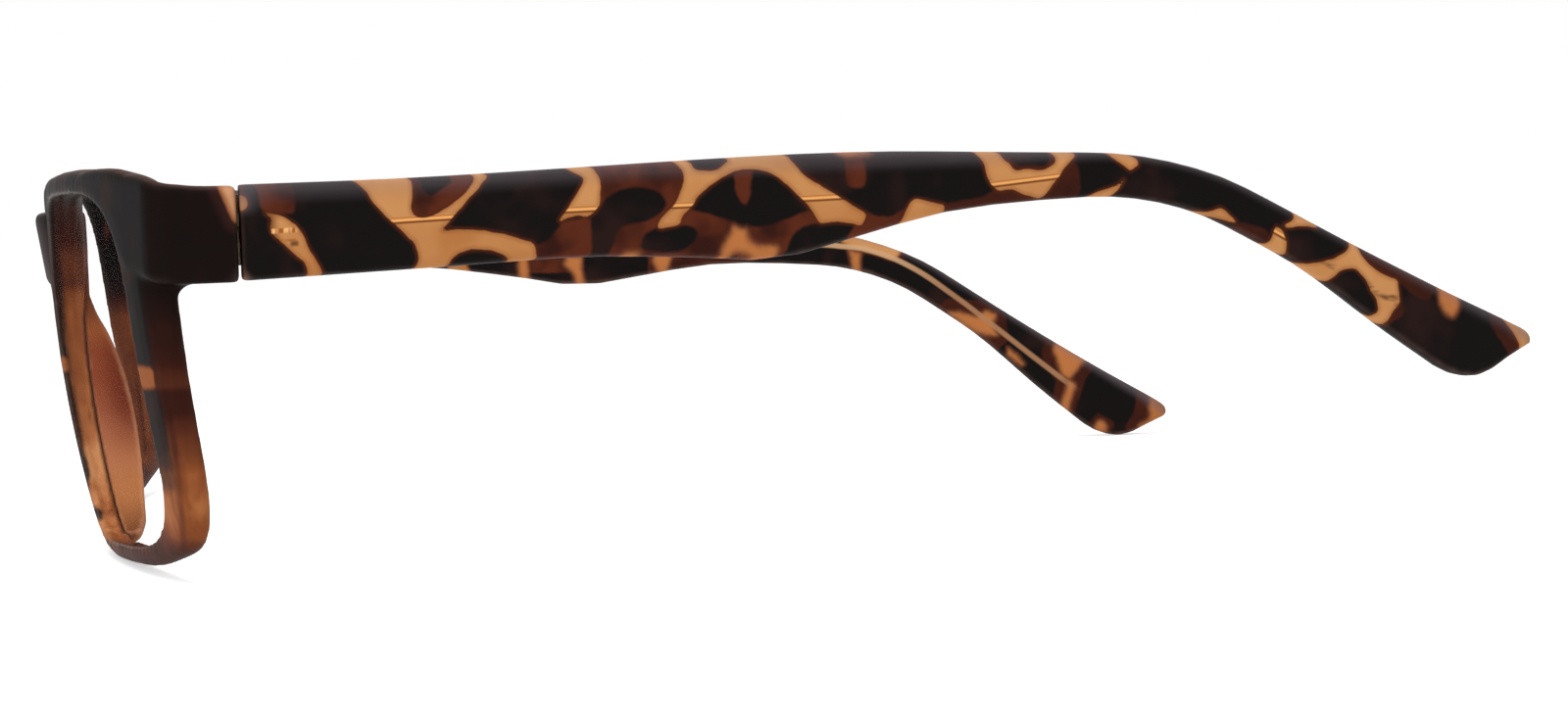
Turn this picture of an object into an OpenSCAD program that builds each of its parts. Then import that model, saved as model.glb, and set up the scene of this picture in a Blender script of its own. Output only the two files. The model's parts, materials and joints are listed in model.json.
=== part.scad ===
// Square plastic eyeglasses, open, standing on both rims and one temple tip.
// x runs across the face, y runs from the bridge back along the temples, z is up.
// The wearer's left is +x. Everything is drawn first with the hinge joint plane at
// y = 0 and the rim bottoms near z = 0, and is then set down on the table.

/* [Front] */
// Width of each lens opening
lens_w = 51.6; // [48:0.2:56]
// Height of each lens opening
lens_h = 40.2; // [36:0.2:43]
// Distance between the two lens openings
bridge_w = 17; // [15:0.5:20]
// How square the openings are, 2 is an ellipse
squareness = 3.75; // [3:0.05:5]
// How far the lower nose corner of an opening is cut away
nose_cut = 5.2; // [2:0.1:7]
// How far the openings' lower edges rise towards the temples
lower_rise = 1.8; // [0:0.1:3]
// How far the openings' upper edges fall towards the nose
brow_fall = 1.5; // [0:0.1:3]
// Rim width over the lens
rim_top = 2.6; // [2.4:0.1:4]
// Rim width under the lens
rim_bottom = 2.2; // [2:0.1:4]
// Rim width at the temple side
rim_side = 5.5; // [4:0.1:6]
// Rim width at the nose side
rim_nose = 3.2; // [2.6:0.1:4]
// Rim thickness, front to back, at the top
rim_depth_top = 4.3; // [3.8:0.1:5]
// Rim thickness, front to back, at the bottom
rim_depth_bottom = 2.8; // [2.8:0.1:4]
// Radius of the front's curve across each lens
curve_across = 123; // [110:1:200]
// Radius of the front's curve down each lens
curve_down = 120; // [110:1:220]
// Angle by which each lens wraps round the face
wrap = 8; // [4:0.1:9]
// Angle by which the front leans back at the bottom
lean = 7.4; // [3:0.1:9]
// Extra lean at the temple side of each lens
side_lean = 1.1; // [0:0.1:3]
// How far each lens centre stands ahead of the hinge joint
front_ahead = 16.8; // [15:0.1:19]

/* [Lenses] */
// Lens thickness
lens_t = 1.8; // [1.4:0.1:2]
// Depth of the lens groove in the rim
groove_depth = 0.9; // [0.6:0.1:1.1]
// Distance of the groove behind the front face
groove_back = 1.75; // [1.5:0.05:2]
// Gap left round the lens in its groove
lens_gap = 0.05; // [0.02:0.01:0.1]

/* [Bridge] */
// Height of the bridge bar at its middle
bridge_h = 8.9; // [7:0.1:11]
// How far the bridge's top lies below the rim tops
bridge_drop = 5.3; // [4:0.1:7]
// How far the bridge bulges ahead of the rims
bridge_bulge = 1.1; // [0.5:0.05:2.5]
// Lean of the bridge's front face, lower edge back
bridge_lean = 8.5; // [4:0.5:14]
// Bridge thickness, front to back
bridge_t = 4.3; // [3.6:0.1:5]

/* [Nose pads] */
// Height of a nose pad, with its long upper taper
pad_h = 30.9; // [24:0.1:31]
// Distance of a pad's lower end above the table side of the rim
pad_low = 2.8; // [2.8:0.1:5]
// How far a pad reaches behind the rim
pad_reach = 4.3; // [3:0.1:6]
// Pad thickness at its edge
pad_t = 1.5; // [1.2:0.1:2]
// Angle by which the pads splay apart towards the face
pad_splay = 24; // [15:1:35]

/* [End pieces] */
// How far the end piece stands outside the rim
end_flare = 2.4; // [1.6:0.1:4]
// End piece height
end_h = 9.9; // [9:0.1:11]
// End piece thickness, inside to outside
end_t = 4.2; // [4:0.1:5]
// Distance of the end piece's middle below the rim top
end_drop = 7.8; // [7:0.1:10]
// Radius of the end piece's outer front corner
end_corner = 2.8; // [1.5:0.1:3]
// Radius of the fillet under the end piece
end_fillet = 2; // [1:0.1:2.5]

/* [Temples] */
// Gap between end piece and temple at the joint
seam_gap = 0.34; // [0.32:0.01:0.5]
// Length of the temple's straight part, joint to bend
temple_straight = 90; // [80:1:100]
// Length of the drooping tip, bend to end
tip_len = 38.8; // [32:0.2:44]
// Angle of the bend behind the ear
bend_angle = 29.7; // [22:0.1:36]
// Radius of that bend, along the core wire
bend_radius = 34; // [28:1:45]
// Slope of the core wire in the straight part
core_slope = 1.3; // [0.5:0.1:2]
// Temple height above the core wire at the joint
root_up = 4.6; // [4:0.1:5]
// Temple height below the core wire at the joint
root_down = 5.25; // [4.8:0.05:5.6]
// Height above the core wire along the middle
middle_up = 4.2; // [3.6:0.1:5]
// Height above the core wire at the bend
neck_up = 2.25; // [2:0.05:3]
// Height below the core wire at the bend
neck_down = 2.45; // [2:0.05:3]
// Distance from the joint to the belly under the temple
belly_at = 55; // [50:1:60]
// Height below the core wire at the belly
belly_down = 6.7; // [5.5:0.1:8]
// Height above the core wire at the tip's end
tip_up = 3.15; // [2.6:0.05:3.6]
// Height below the core wire at the tip's widest place
tip_down = 5.3; // [4:0.1:6]
// Temple thickness at the joint
temple_t = 3.8; // [3.6:0.1:4]
// Temple thickness at the tip
tip_t = 3.1; // [2.8:0.1:3.6]
// Distance from the joint where the temples start to curve in
hug_at = 95; // [85:1:105]
// Radius of that inward curve
hug_radius = 215; // [180:5:300]
// Angle by which the temples converge
toe_in = 0.14; // [0:0.02:0.5]
// Angle by which the left temple is set above true
left_raise = 2.9; // [0:0.1:3]
// Angle by which the right temple is set below true
right_drop = 3.4; // [0:0.1:3.6]

/* [Core wires] */
// Core wire diameter
wire_d = 1.3; // [1.1:0.1:1.5]
// Gap round the core wire and the hinge leaves in the plastic
wire_gap = 0.05; // [0.02:0.01:0.1]
// Distance of the wire's end before the tip's end
wire_short = 16; // [10:1:30]

/* [Hinges] */
// Height of the five knuckles together
hinge_h = 6.6; // [5.5:0.1:7]
// Knuckle diameter
knuckle_d = 3; // [2.8:0.1:3.2]
// Running gap between knuckles
knuckle_gap = 0.06; // [0.04:0.01:0.1]
// Hinge screw diameter
screw_d = 1.4; // [1.2:0.1:1.6]
// Gap round the screw in the knuckles
screw_gap = 0.05; // [0.02:0.01:0.08]
// Screw head diameter
screw_head_d = 2.4; // [2.2:0.1:2.8]
// Screw head height
screw_head_h = 0.7; // [0.5:0.1:0.9]
// Hinge leaf thickness
leaf_t = 1; // [0.8:0.1:1.2]
// Hinge leaf height
leaf_h = 5.6; // [4.8:0.1:6]
// Length of the front hinge's leaf
front_leaf_len = 5; // [4:0.1:5.2]
// Length of the temple hinge's leaf
temple_leaf_len = 9; // [8:0.1:12]
// How far the leaves are let into the plastic
leaf_sunk = 0.7; // [0.5:0.1:0.8]

/* [Hidden] */
$fn = 32;

tortoise = "#5a3420";
horn = "#8a5230";
brass = "#c9a24a";
steel = "#b9bcc0";

rim_stations = 72;
rim_round = 1.15;
rim_corner = 0.35;
lens_x = (bridge_w + lens_w) / 2;
lens_z = rim_bottom + lens_h / 2;
rim_top_z = rim_bottom + lens_h + rim_top;
half_w = bridge_w / 2 + lens_w + rim_side + end_flare;
end_z = rim_top_z - end_drop;
end_in = half_w - end_t;
end_top = end_z + end_h / 2;
end_bottom = end_z - end_h / 2;
hinge_stand = 0.25;
hinge_x = end_in - knuckle_d / 2 - hinge_stand;
hinge_y = seam_gap / 2;
bend_arc = bend_radius * bend_angle * PI / 180;
bend_end = temple_straight + bend_arc;
core_len = bend_end + tip_len;
core_lift = 0.08;
core_z = end_z - (root_up - root_down) / 2 + core_lift;
bore_d = screw_d + 2 * screw_gap;
knuckle_h = (hinge_h - 4 * knuckle_gap) / 5;
leaf_in = end_in + leaf_sunk - leaf_t;
leaf_clear = 1.2;
neck_clear = 0.2;
neck_back = 1.1;
neck_len = knuckle_d / 2 + neck_back;
neck_side = 0.1;
tang_h = 1.8;
tang_at = 3.2;
tang_fall = 0.1;
wire_start = temple_leaf_len + 0.4;
wire_end = core_len - wire_short;
root_spare = 0.6;
edge_round = 0.9;
bridge_round = 1;
pad_set = 0.4;

// Power that keeps its sign, for the rounded square outlines
function signed_power(v, e) = sign(v) * pow(abs(v), e);

// Front surface: distance back of a point over (x, z) on the wearer's left half
function front_y(x, z) = -front_ahead + tan(wrap) * (x - lens_x)
    + tan(lean + side_lean * (x - lens_x) * 2 / lens_w) * (lens_z - z)
    + pow(x - lens_x, 2) / (2 * curve_across) + pow(z - lens_z, 2) / (2 * curve_down);

// Outline of the left lens opening, seen from the front, at angle a
function opening(a) =
    let (c = signed_power(cos(a), 2 / squareness), s = signed_power(sin(a), 2 / squareness),
         low = (1 - s) / 2, high = (1 + s) / 2)
    [lens_x + c * lens_w / 2 - min(c, 0) * nose_cut * low * low,
     lens_z + s * lens_h / 2 + lower_rise * low * low * (1 + c) / 2 - brow_fall * high * high * (1 - c) / 2];

// Unit vector pointing out of the opening at angle a
function outward(a) =
    let (d = opening(a + 0.5) - opening(a - 0.5))
    [d[1], -d[0]] / norm(d);

// Rim width at angle a, blended between the four sides
function rim_width(a) =
    let (across = pow(abs(cos(a)), 4), down = pow(abs(sin(a)), 4),
         share = across / (across + down))
    share * (cos(a) > 0 ? rim_side : rim_nose)
    + (1 - share) * (sin(a) > 0 ? rim_top : rim_bottom);

// Rim thickness at height z
function rim_depth(z) =
    let (share = min(max(z / rim_top_z, 0), 1))
    rim_depth_bottom + (rim_depth_top - rim_depth_bottom) * share;

// Point on the rim at angle a, r out from the opening's edge and d behind the front
function rim_point(a, r, d) =
    let (p = opening(a) + r * outward(a))
    [p[0], front_y(p[0], p[1]) + d, p[1]];

// Rim section at angle a: small front bevel, rounded outside, groove for the lens
function rim_ring(a) =
    let (w = rim_width(a), t = rim_depth(opening(a)[1] + rim_width(a) * sin(a)))
    [for (q = [[0, 0.45], [0.3, 0.08], [w / 2, 0], [w - rim_round, 0.04], [w - rim_corner, 0.4],
               [w, rim_round], [w, t - rim_round], [w - rim_corner, t - rim_corner], [w - rim_round, t],
               [0.8, t], [0.25, t - 0.22], [0, t - 0.8], [0, groove_back + groove_depth], [groove_depth, groove_back],
               [0, groove_back - groove_depth]])
        rim_point(a, q[0], q[1])];

// Closed skin over rings of points, as a hoop or with both ends capped
module skin(rings, hoop = false) {
    n = len(rings[0]);
    m = len(rings);
    last = hoop ? m - 1 : m - 2;
    sides = [for (i = [0:last]) for (k = [0:n - 1])
        let (a = i * n + k, b = i * n + (k + 1) % n,
             c = ((i + 1) % m) * n + (k + 1) % n, d = ((i + 1) % m) * n + k)
        each [[a, b, c], [a, c, d]]];
    caps = hoop ? [] : [[for (k = [n - 1:-1:0]) k], [for (k = [0:n - 1]) (m - 1) * n + k]];
    polyhedron(points = [for (r = rings) each r], faces = concat(sides, caps));
}

// Row of convex blocks, each drawn over two neighbouring sections
module chain(sections) {
    n = len(sections[0]);
    for (i = [0:len(sections) - 2])
        hull()
            polyhedron(points = concat(sections[i], sections[i + 1]),
                faces = [[for (k = [0:n - 1]) k], [for (k = [0:n - 1]) n + k]]);
}

// Rounded section, upright, between an inner and an outer plan point; its top may fall inwards
function upright(inner, outer, low, high, r, fall = 0) =
    let (u = (outer - inner) / norm(outer - inner), w = norm(outer - inner))
    [for (c = [[w - r, high - r, 0], [r, high - fall - r, 90], [r, low + r, 180], [w - r, low + r, 270]])
        for (a = [0, 30, 60, 90])
            let (q = c[0] + r * cos(c[2] + a))
            [inner[0] + u[0] * q, inner[1] + u[1] * q, c[1] + r * sin(c[2] + a)]];

module rim() {
    skin([for (i = [rim_stations - 1:-1:0]) rim_ring(360 * i / rim_stations)], hoop = true);
}

// Bridge section at x: arched in plan and above and below towards the rims
function bridge_section(x, reach) =
    let (f = pow(x / reach, 2), rim_x = lens_x - lens_w / 2 - 1.5,
         high = rim_top_z - bridge_drop + f * f * (bridge_drop - brow_fall - 1.2),
         low = rim_top_z - bridge_drop - bridge_h - f * f * f * 3,
         mid = (high + low) / 2, r = bridge_round,
         tip = bridge_bulge * (1 - f))
    [for (c = [[bridge_t - r, high - r, 0], [r, high - r, 90], [r, low + r, 180], [bridge_t - r, low + r, 270]])
        for (a = [0, 30, 60, 90])
            let (z = c[1] + r * sin(c[2] + a))
            [x, front_y(rim_x, z) * f + (front_y(rim_x, mid) - tan(bridge_lean) * (z - mid)) * (1 - f)
                - tip + c[0] + r * cos(c[2] + a) - 0.1 * f, z]];

module bridge() {
    reach = lens_x - lens_w / 2 - groove_depth - 0.4;
    chain([for (i = [-8:8]) bridge_section(reach * i / 8, reach)]);
}

// End piece of the left side: grows out of the rim's corner and turns back to the joint.
// Its first sections are given as distance from the opening, rise of the top, lift of the bottom.
module end_piece() {
    set_back = 0.3;
    corner_x = half_w - end_corner;
    start_angle = atan(tan(wrap) + (corner_x - lens_x) / curve_across);
    corner_y = front_y(corner_x + end_corner * sin(start_angle), end_z) + end_corner * cos(start_angle);
    edge = lens_x + lens_w / 2;
    rise = rim_top_z - end_top;
    inner_y = front_y(end_in, end_z) + rim_depth(end_z);
    chain(concat(
        [for (q = [[-14, rise * 0.68, end_h - 0.3], [-11, rise * 0.77, end_h - 0.6], [-8, rise * 0.81, end_h - 1.2],
                   [-4.5, rise * 0.81, end_h - 2.2], [-2, rise * 0.77, end_h - 4.2],
                   [-0.3, rise * 0.7, end_h - 7.2], [1.2, rise * 0.6, 1.2]])
            let (x = edge + q[0], y = front_y(x, end_z + 2))
            upright([x, y + rim_depth(end_z) - set_back], [x, y + 0.05],
                end_bottom + q[2], end_top + q[1], edge_round, rise * 0.2)],
        [for (i = [0:4])
            let (a = start_angle + (90 - start_angle) * i / 4,
                 o = [corner_x + end_corner * sin(a), corner_y - end_corner * cos(a)])
            upright([end_in + 0.4 * (i / 4 - 1), inner_y - 0.9 + 0.25 * i], o,
                end_bottom + 0.5 * pow(1 - i / 4, 2), end_top + rise * 0.48 * pow(1 - i / 9, 2), edge_round,
                rise * 0.2)],
        [for (q = [[1.2, 0.1], [2.4, 0.04], [4, 0.01]])
            upright([end_in, corner_y + q[0]], [half_w, corner_y + q[0]],
                end_bottom, end_top + rise * q[1], edge_round)],
        [upright([end_in, 0], [half_w, 0], end_bottom, end_top, edge_round)]));
}

// Fillet between the end piece's underside and the back of the rim
module end_fillet_block() {
    x0 = lens_x + lens_w / 2 + 1.4;
    x1 = half_w - end_flare - 0.5;
    y0 = front_y(x1, end_bottom) + rim_depth(end_bottom) - 0.5;
    difference() {
        translate([x0, y0 - 1, end_bottom - end_fillet])
            cube([x1 - x0, end_fillet + 1, end_fillet + 1]);
        translate([x0 - 1, y0 + end_fillet, end_bottom - end_fillet])
            rotate([0, 90, 0])
                cylinder(r = end_fillet, h = x1 - x0 + 2, $fn = 48);
    }
}

// Angle round the opening at which its nose side has height z
function nose_angle(z) = 180 - asin(signed_power((z - lens_z) * 2 / lens_h, squareness / 2));

// Share of a pad's reach at shares of its height, blunt below and long drawn out above
pad_profile = [[0, 0.36], [0.015, 0.53], [0.035, 0.63], [0.09, 0.73], [0.2, 0.88], [0.35, 0.98], [0.48, 0.97],
    [0.62, 0.84], [0.73, 0.62], [0.82, 0.32], [0.91, 0.12], [1, 0.03]];

// One nose pad section at share t of its height: a fin behind the rim, splayed outwards,
// its root let into the rim
function pad_ring(t) =
    let (z = pad_low + t * pad_h, a = nose_angle(z), base = rim_depth(z) - pad_set,
         reach = pad_reach * curve_at(min(max(t, 0), 0.999), pad_profile),
         thick = min(pad_t, 0.5 + reach * 0.4), root = 0.5 + 0.55 * min(reach, 1.2))
    [for (q = [[-root, 0], [-thick * 0.62, reach * 0.35], [-thick * 0.55, reach * 0.75],
               [-thick * 0.38, reach + 0.08], [0, reach + 0.3], [thick * 0.38, reach + 0.08],
               [thick * 0.5, reach * 0.75], [thick * 0.6, reach * 0.35], [root, 0]])
        rim_point(a, rim_width(a) * 0.45 - q[0] - tan(pad_splay) * q[1], base + q[1])];

module nose_pad_shape() {
    skin([for (i = [0:18]) pad_ring((1 - cos(180 * i / 18)) / 2)]);
}

// Lens: the opening's outline with a bevel that runs in the groove, and curved faces
function lens_ring(shrink, r, d) =
    [for (i = [0:rim_stations - 1])
        let (a = 360 * i / rim_stations, p = opening(a) + r * outward(a),
             x = lens_x + (p[0] - lens_x) * shrink, z = lens_z + (p[1] - lens_z) * shrink)
        [x, front_y(x, z) + d, z]];

module lens_shape() {
    front = groove_back - lens_t / 2;
    back = groove_back + lens_t / 2;
    skin([lens_ring(0.02, 0, front), lens_ring(0.4, 0, front), lens_ring(0.75, 0, front),
        lens_ring(1, -lens_gap, front), lens_ring(1, groove_depth - 1.5 * lens_gap, groove_back),
        lens_ring(1, -lens_gap, back), lens_ring(0.75, 0, back), lens_ring(0.4, 0, back),
        lens_ring(0.02, 0, back)]);
}

// Smooth curve through points [place, value]
function part_of(t, p, i = 0) = (i >= len(p) - 2 || t < p[i + 1][0]) ? i : part_of(t, p, i + 1);
function slope_at(p, i) =
    let (a = max(i - 1, 0), b = min(i + 1, len(p) - 1))
    (p[b][1] - p[a][1]) / (p[b][0] - p[a][0]);
function curve_at(t, p) =
    let (i = part_of(t, p), w = p[i + 1][0] - p[i][0], f = (t - p[i][0]) / w,
         m = slope_at(p, i) * w, n = slope_at(p, i + 1) * w)
    p[i][1] * (1 + 2 * f) * pow(1 - f, 2) + p[i + 1][1] * f * f * (3 - 2 * f)
    + m * f * pow(1 - f, 2) - n * f * f * (1 - f);

// Temple edges above and below the core wire, by distance along it
upper_edge = [[0, root_up], [18, middle_up], [belly_at, middle_up], [temple_straight - 22, 3.85],
    [temple_straight - 9, 3], [temple_straight + 1, neck_up + 0.1], [temple_straight + 9, neck_up - 0.15],
    [bend_end, neck_up], [core_len - 25, neck_up + 0.05], [core_len - 12, tip_up - 0.5],
    [core_len - 2, tip_up], [core_len - 0.6, tip_up - 0.15], [core_len, tip_up - 0.8]];
lower_edge = [[0, root_down], [20, root_down - 0.05], [belly_at - 20, root_down - 0.1],
    [belly_at - 9, belly_down - 0.8], [belly_at + 0.5, belly_down], [belly_at + 10, 4.85],
    [belly_at + 18, 3.15], [belly_at + 27, neck_down], [temple_straight + 8, neck_down],
    [bend_end + 1, neck_down], [core_len - 29, neck_down + 0.25], [core_len - 18, tip_down - 1],
    [core_len - 11.5, tip_down - 0.25], [core_len - 8, tip_down], [core_len - 5.2, tip_down - 0.7],
    [core_len - 3.4, tip_down - 2], [core_len - 1.9, 0.9], [core_len - 0.9, -0.6], [core_len, -1.9]];

// Core line of a temple: distance back, height and slope at distance s along it
function core_angle(s) = core_slope + min(max(s - temple_straight, 0), bend_arc) / bend_radius * 180 / PI;
function core_point(s) =
    s <= temple_straight ? [s * cos(core_slope), -s * sin(core_slope)]
    : let (a = core_angle(s), t = max(s - bend_end, 0))
      core_point(temple_straight)
      + bend_radius * [sin(a) - sin(core_slope), cos(a) - cos(core_slope)]
      + t * [cos(a), -sin(a)];

// Outer face of the temples at distance y behind the joint
function outer_x(y) = half_w - tan(toe_in) * y - pow(max(y - hug_at, 0), 2) / (2 * hug_radius);
function temple_thick(s) = temple_t + (tip_t - temple_t) * min(s / temple_straight, 1);

// Point beside the core line: s along, p up, q out from the temple's inner face
function temple_point(s, p, q) =
    let (c = core_point(s), a = core_angle(s), y = c[0] + p * sin(a) + seam_gap)
    [outer_x(y) - temple_thick(s) + q, y, core_z + c[1] + p * cos(a)];

// Temple section: crowned outside, flat inside, rounded edges, thinner where the tip ends
function temple_ring(s) =
    let (u = curve_at(s, upper_edge), d = -curve_at(s, lower_edge), t = temple_thick(s),
         k = min(1, (u - d) / 5), m = (u + d) / 2)
    [for (q = [[0.7, d], [t - 1.2, d], [t - 0.42, d + 0.28 * k], [t - 0.1, d + 1.1 * k], [t, m - 0.2 * k],
               [t, m + 0.2 * k], [t - 0.1, u - 1.1 * k], [t - 0.42, u - 0.28 * k], [t - 1.2, u], [0.7, u],
               [0.2, u - 0.2 * k], [0, u - 0.8 * k], [0, d + 0.8 * k], [0.2, d + 0.2 * k]])
        temple_point(s, q[1], q[0] + (1 - k) * (t - q[0]) * 0.6)];

temple_stations = concat([-root_spare, 2.5], [for (i = [1:17]) temple_straight * i / 17],
    [for (i = [1:6]) temple_straight + bend_arc * i / 6],
    [for (i = [1:20]) bend_end + tip_len * sin(90 * i / 20)]);

// The wire lies a little below the core line, and waves along it as it was pressed in
wire_wave = [[0, -0.1], [20, -0.1], [35, -0.6], [60, -0.65], [82, -0.15], [100, -0.4], [core_len - 22, -1],
    [core_len, -1.4]];
function wire_ring(s, r) =
    [for (a = [0:45:315])
        temple_point(s, curve_at(s, wire_wave) + r * cos(a), temple_thick(s) / 2 + r * sin(a))];

module wire_path(r, extra) {
    straight = [for (i = [0:7]) wire_start + (temple_straight - wire_start) * i / 7];
    bend = [for (i = [1:5]) temple_straight + bend_arc * i / 5];
    tail = [for (i = [1:4]) bend_end + (wire_end + extra - bend_end) * i / 4];
    chain([for (s = concat(straight, bend, tail)) wire_ring(s, r)]);
}

// Hinge leaf with its tang, drawn with a margin where it is a pocket
module front_leaf(margin) {
    translate([leaf_in - margin, -front_leaf_len - margin, end_z - leaf_h / 2 - margin])
        cube([leaf_t + 2 * margin, front_leaf_len - leaf_clear / 2 + margin, leaf_h + 2 * margin]);
}
module temple_leaf(margin) {
    translate([leaf_in - margin, leaf_clear, end_z - leaf_h / 2 - margin])
        cube([leaf_t + half_w - temple_t - end_in + 2 * margin, temple_leaf_len - leaf_clear + margin,
            leaf_h + 2 * margin]);
    translate([leaf_in, tang_at - margin, core_z - tang_fall - tang_h / 2 - margin])
        cube([half_w - temple_t / 2 + wire_d / 2 - leaf_in + margin,
            wire_start + seam_gap - tang_at + margin, tang_h + 2 * margin]);
}

// Knuckles at the given levels, counted from the bottom, with necks towards side (+1 back)
module knuckles(levels, side) {
    for (i = levels)
        translate([hinge_x, hinge_y, end_z - hinge_h / 2 + i * (knuckle_h + knuckle_gap)])
            difference() {
                union() {
                    cylinder(d = knuckle_d, h = knuckle_h, $fn = 48);
                    translate([bore_d / 2 + neck_side, side > 0 ? neck_clear : -neck_len, 0])
                        cube([leaf_in - hinge_x - bore_d / 2 + neck_side, neck_len - neck_clear, knuckle_h]);
                }
                translate([0, 0, -1])
                    cylinder(d = bore_d, h = knuckle_h + 2, $fn = 48);
            }
}

module front_hinge_shape() {
    front_leaf(0);
    knuckles([0, 2, 4], -1);
}

module temple_hinge_shape() {
    temple_leaf(0);
    knuckles([1, 3], 1);
}

module hinge_screw_shape() {
    slot_w = 0.4;
    slot_deep = 0.35;
    difference() {
        union() {
            translate([0, 0, -hinge_h / 2])
                cylinder(d = screw_d, h = hinge_h, $fn = 48);
            translate([0, 0, hinge_h / 2])
                cylinder(d = screw_head_d, h = screw_head_h, $fn = 48);
        }
        translate([-screw_head_d, -slot_w / 2, hinge_h / 2 + screw_head_h - slot_deep])
            cube([2 * screw_head_d, slot_w, 1]);
    }
}

module temple_shape() {
    difference() {
        skin([for (s = temple_stations) temple_ring(s)]);
        wire_path(wire_d / 2 + wire_gap, 1);
        temple_leaf(wire_gap);
    }
}

// Turns a side's temple and hinge about the hinge, up when the angle is positive
module set_angle(angle) {
    translate([0, hinge_y, end_z])
        rotate([angle, 0, 0])
            translate([0, -hinge_y, -end_z])
                children();
}
function turned(p, angle) =
    let (y = p[1] - hinge_y, z = p[2] - end_z)
    [p[0], hinge_y + y * cos(angle) - z * sin(angle), end_z + y * sin(angle) + z * cos(angle)];

// The open glasses stand on both rims and the lower temple tip
rim_points = [for (i = [0:rim_stations - 1]) each rim_ring(360 * i / rim_stations)];
left_points = [for (s = temple_stations) for (p = temple_ring(s)) turned(p, left_raise)];
right_points = [for (s = temple_stations) for (p = temple_ring(s)) turned(p, -right_drop)];
function lowest(points, angle) = min([for (p = points) p[1] * sin(angle) + p[2] * cos(angle)]);
function level(low, high, steps) =
    let (mid = (low + high) / 2)
    steps == 0 ? mid
    : lowest(right_points, mid) > lowest(rim_points, mid) ? level(low, mid, steps - 1)
    : level(mid, high, steps - 1);
rest_tilt = level(-15, 15, 24);
bridge_y = min([for (p = bridge_section(0, 1)) p[1] * cos(rest_tilt) - p[2] * sin(rest_tilt)]);
tip_y = max([for (p = concat(left_points, right_points)) p[1] * cos(rest_tilt) - p[2] * sin(rest_tilt)]);
rest_z = -min(lowest(rim_points, rest_tilt), lowest(right_points, rest_tilt));
module on_table() {
    translate([0, -(bridge_y + tip_y) / 2, rest_z])
        rotate([rest_tilt, 0, 0])
            children();
}
module left_side() {
    on_table()
        set_angle(left_raise)
            children();
}
module right_side() {
    on_table()
        mirror([1, 0, 0])
            set_angle(-right_drop)
                children();
}

// Space ahead of the joint gap: it files both temple roots parallel to the end pieces
module joint_space() {
    translate([-half_w - 1, -2, end_bottom - 2])
        cube([2 * half_w + 2, 2 + seam_gap, end_h + 4]);
}

module front_frame() {
    color(tortoise)
        on_table()
            difference() {
                union() {
                    for (side = [0, 1])
                        mirror([side, 0, 0]) {
                            rim();
                            end_piece();
                            end_fillet_block();
                        }
                    bridge();
                }
                for (side = [0, 1])
                    mirror([side, 0, 0]) {
                        nose_pad_shape();
                        set_angle(side == 0 ? left_raise : -right_drop)
                            front_leaf(wire_gap);
                    }
            }
}
module lens_left() {
    color("whitesmoke", 0.4)
        on_table()
            lens_shape();
}
module lens_right() {
    color("whitesmoke", 0.4)
        on_table()
            mirror([1, 0, 0])
                lens_shape();
}
module nose_pad_left() {
    color(horn)
        on_table()
            nose_pad_shape();
}
module nose_pad_right() {
    color(horn)
        on_table()
            mirror([1, 0, 0])
                nose_pad_shape();
}
module front_hinge_left() {
    color(brass)
        left_side()
            front_hinge_shape();
}
module front_hinge_right() {
    color(brass)
        right_side()
            front_hinge_shape();
}
module hinge_screw_left() {
    color(steel)
        left_side()
            translate([hinge_x, hinge_y, end_z])
                hinge_screw_shape();
}
module hinge_screw_right() {
    color(steel)
        right_side()
            translate([hinge_x, hinge_y, end_z])
                hinge_screw_shape();
}
module temple_left() {
    color(tortoise)
        difference() {
            left_side()
                temple_shape();
            on_table()
                joint_space();
        }
}
module temple_right() {
    color(tortoise)
        difference() {
            right_side()
                temple_shape();
            on_table()
                joint_space();
        }
}
module core_wire_left() {
    color(brass)
        left_side()
            wire_path(wire_d / 2, 0);
}
module core_wire_right() {
    color(brass)
        right_side()
            wire_path(wire_d / 2, 0);
}
module temple_hinge_left() {
    color(brass)
        left_side()
            temple_hinge_shape();
}
module temple_hinge_right() {
    color(brass)
        right_side()
            temple_hinge_shape();
}

front_frame();
lens_left();
lens_right();
nose_pad_left();
nose_pad_right();
front_hinge_left();
front_hinge_right();
hinge_screw_left();
hinge_screw_right();
temple_left();
temple_right();
core_wire_left();
core_wire_right();
temple_hinge_left();
temple_hinge_right();
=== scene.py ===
# %% [markdown]
# # Square tortoiseshell eyeglasses
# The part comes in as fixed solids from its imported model: a front, two lenses, two
# nose pads, two temples with their core wires, and two small hinges. This script keeps
# the sizes and places of those solids, apart from the bridge's top edge. It gives the
# moulded pieces the soft edges of tumbled acetate, and every piece its finish.
#
# Everything is in metres. +X runs towards the wearer's left, +Y back along the
# temples, and +Z up from the table.

# %% Load the solids
import json
import math

import bmesh
import bpy
import numpy as np
from mathutils import Matrix, Vector
from mathutils.kdtree import KDTree


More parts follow.
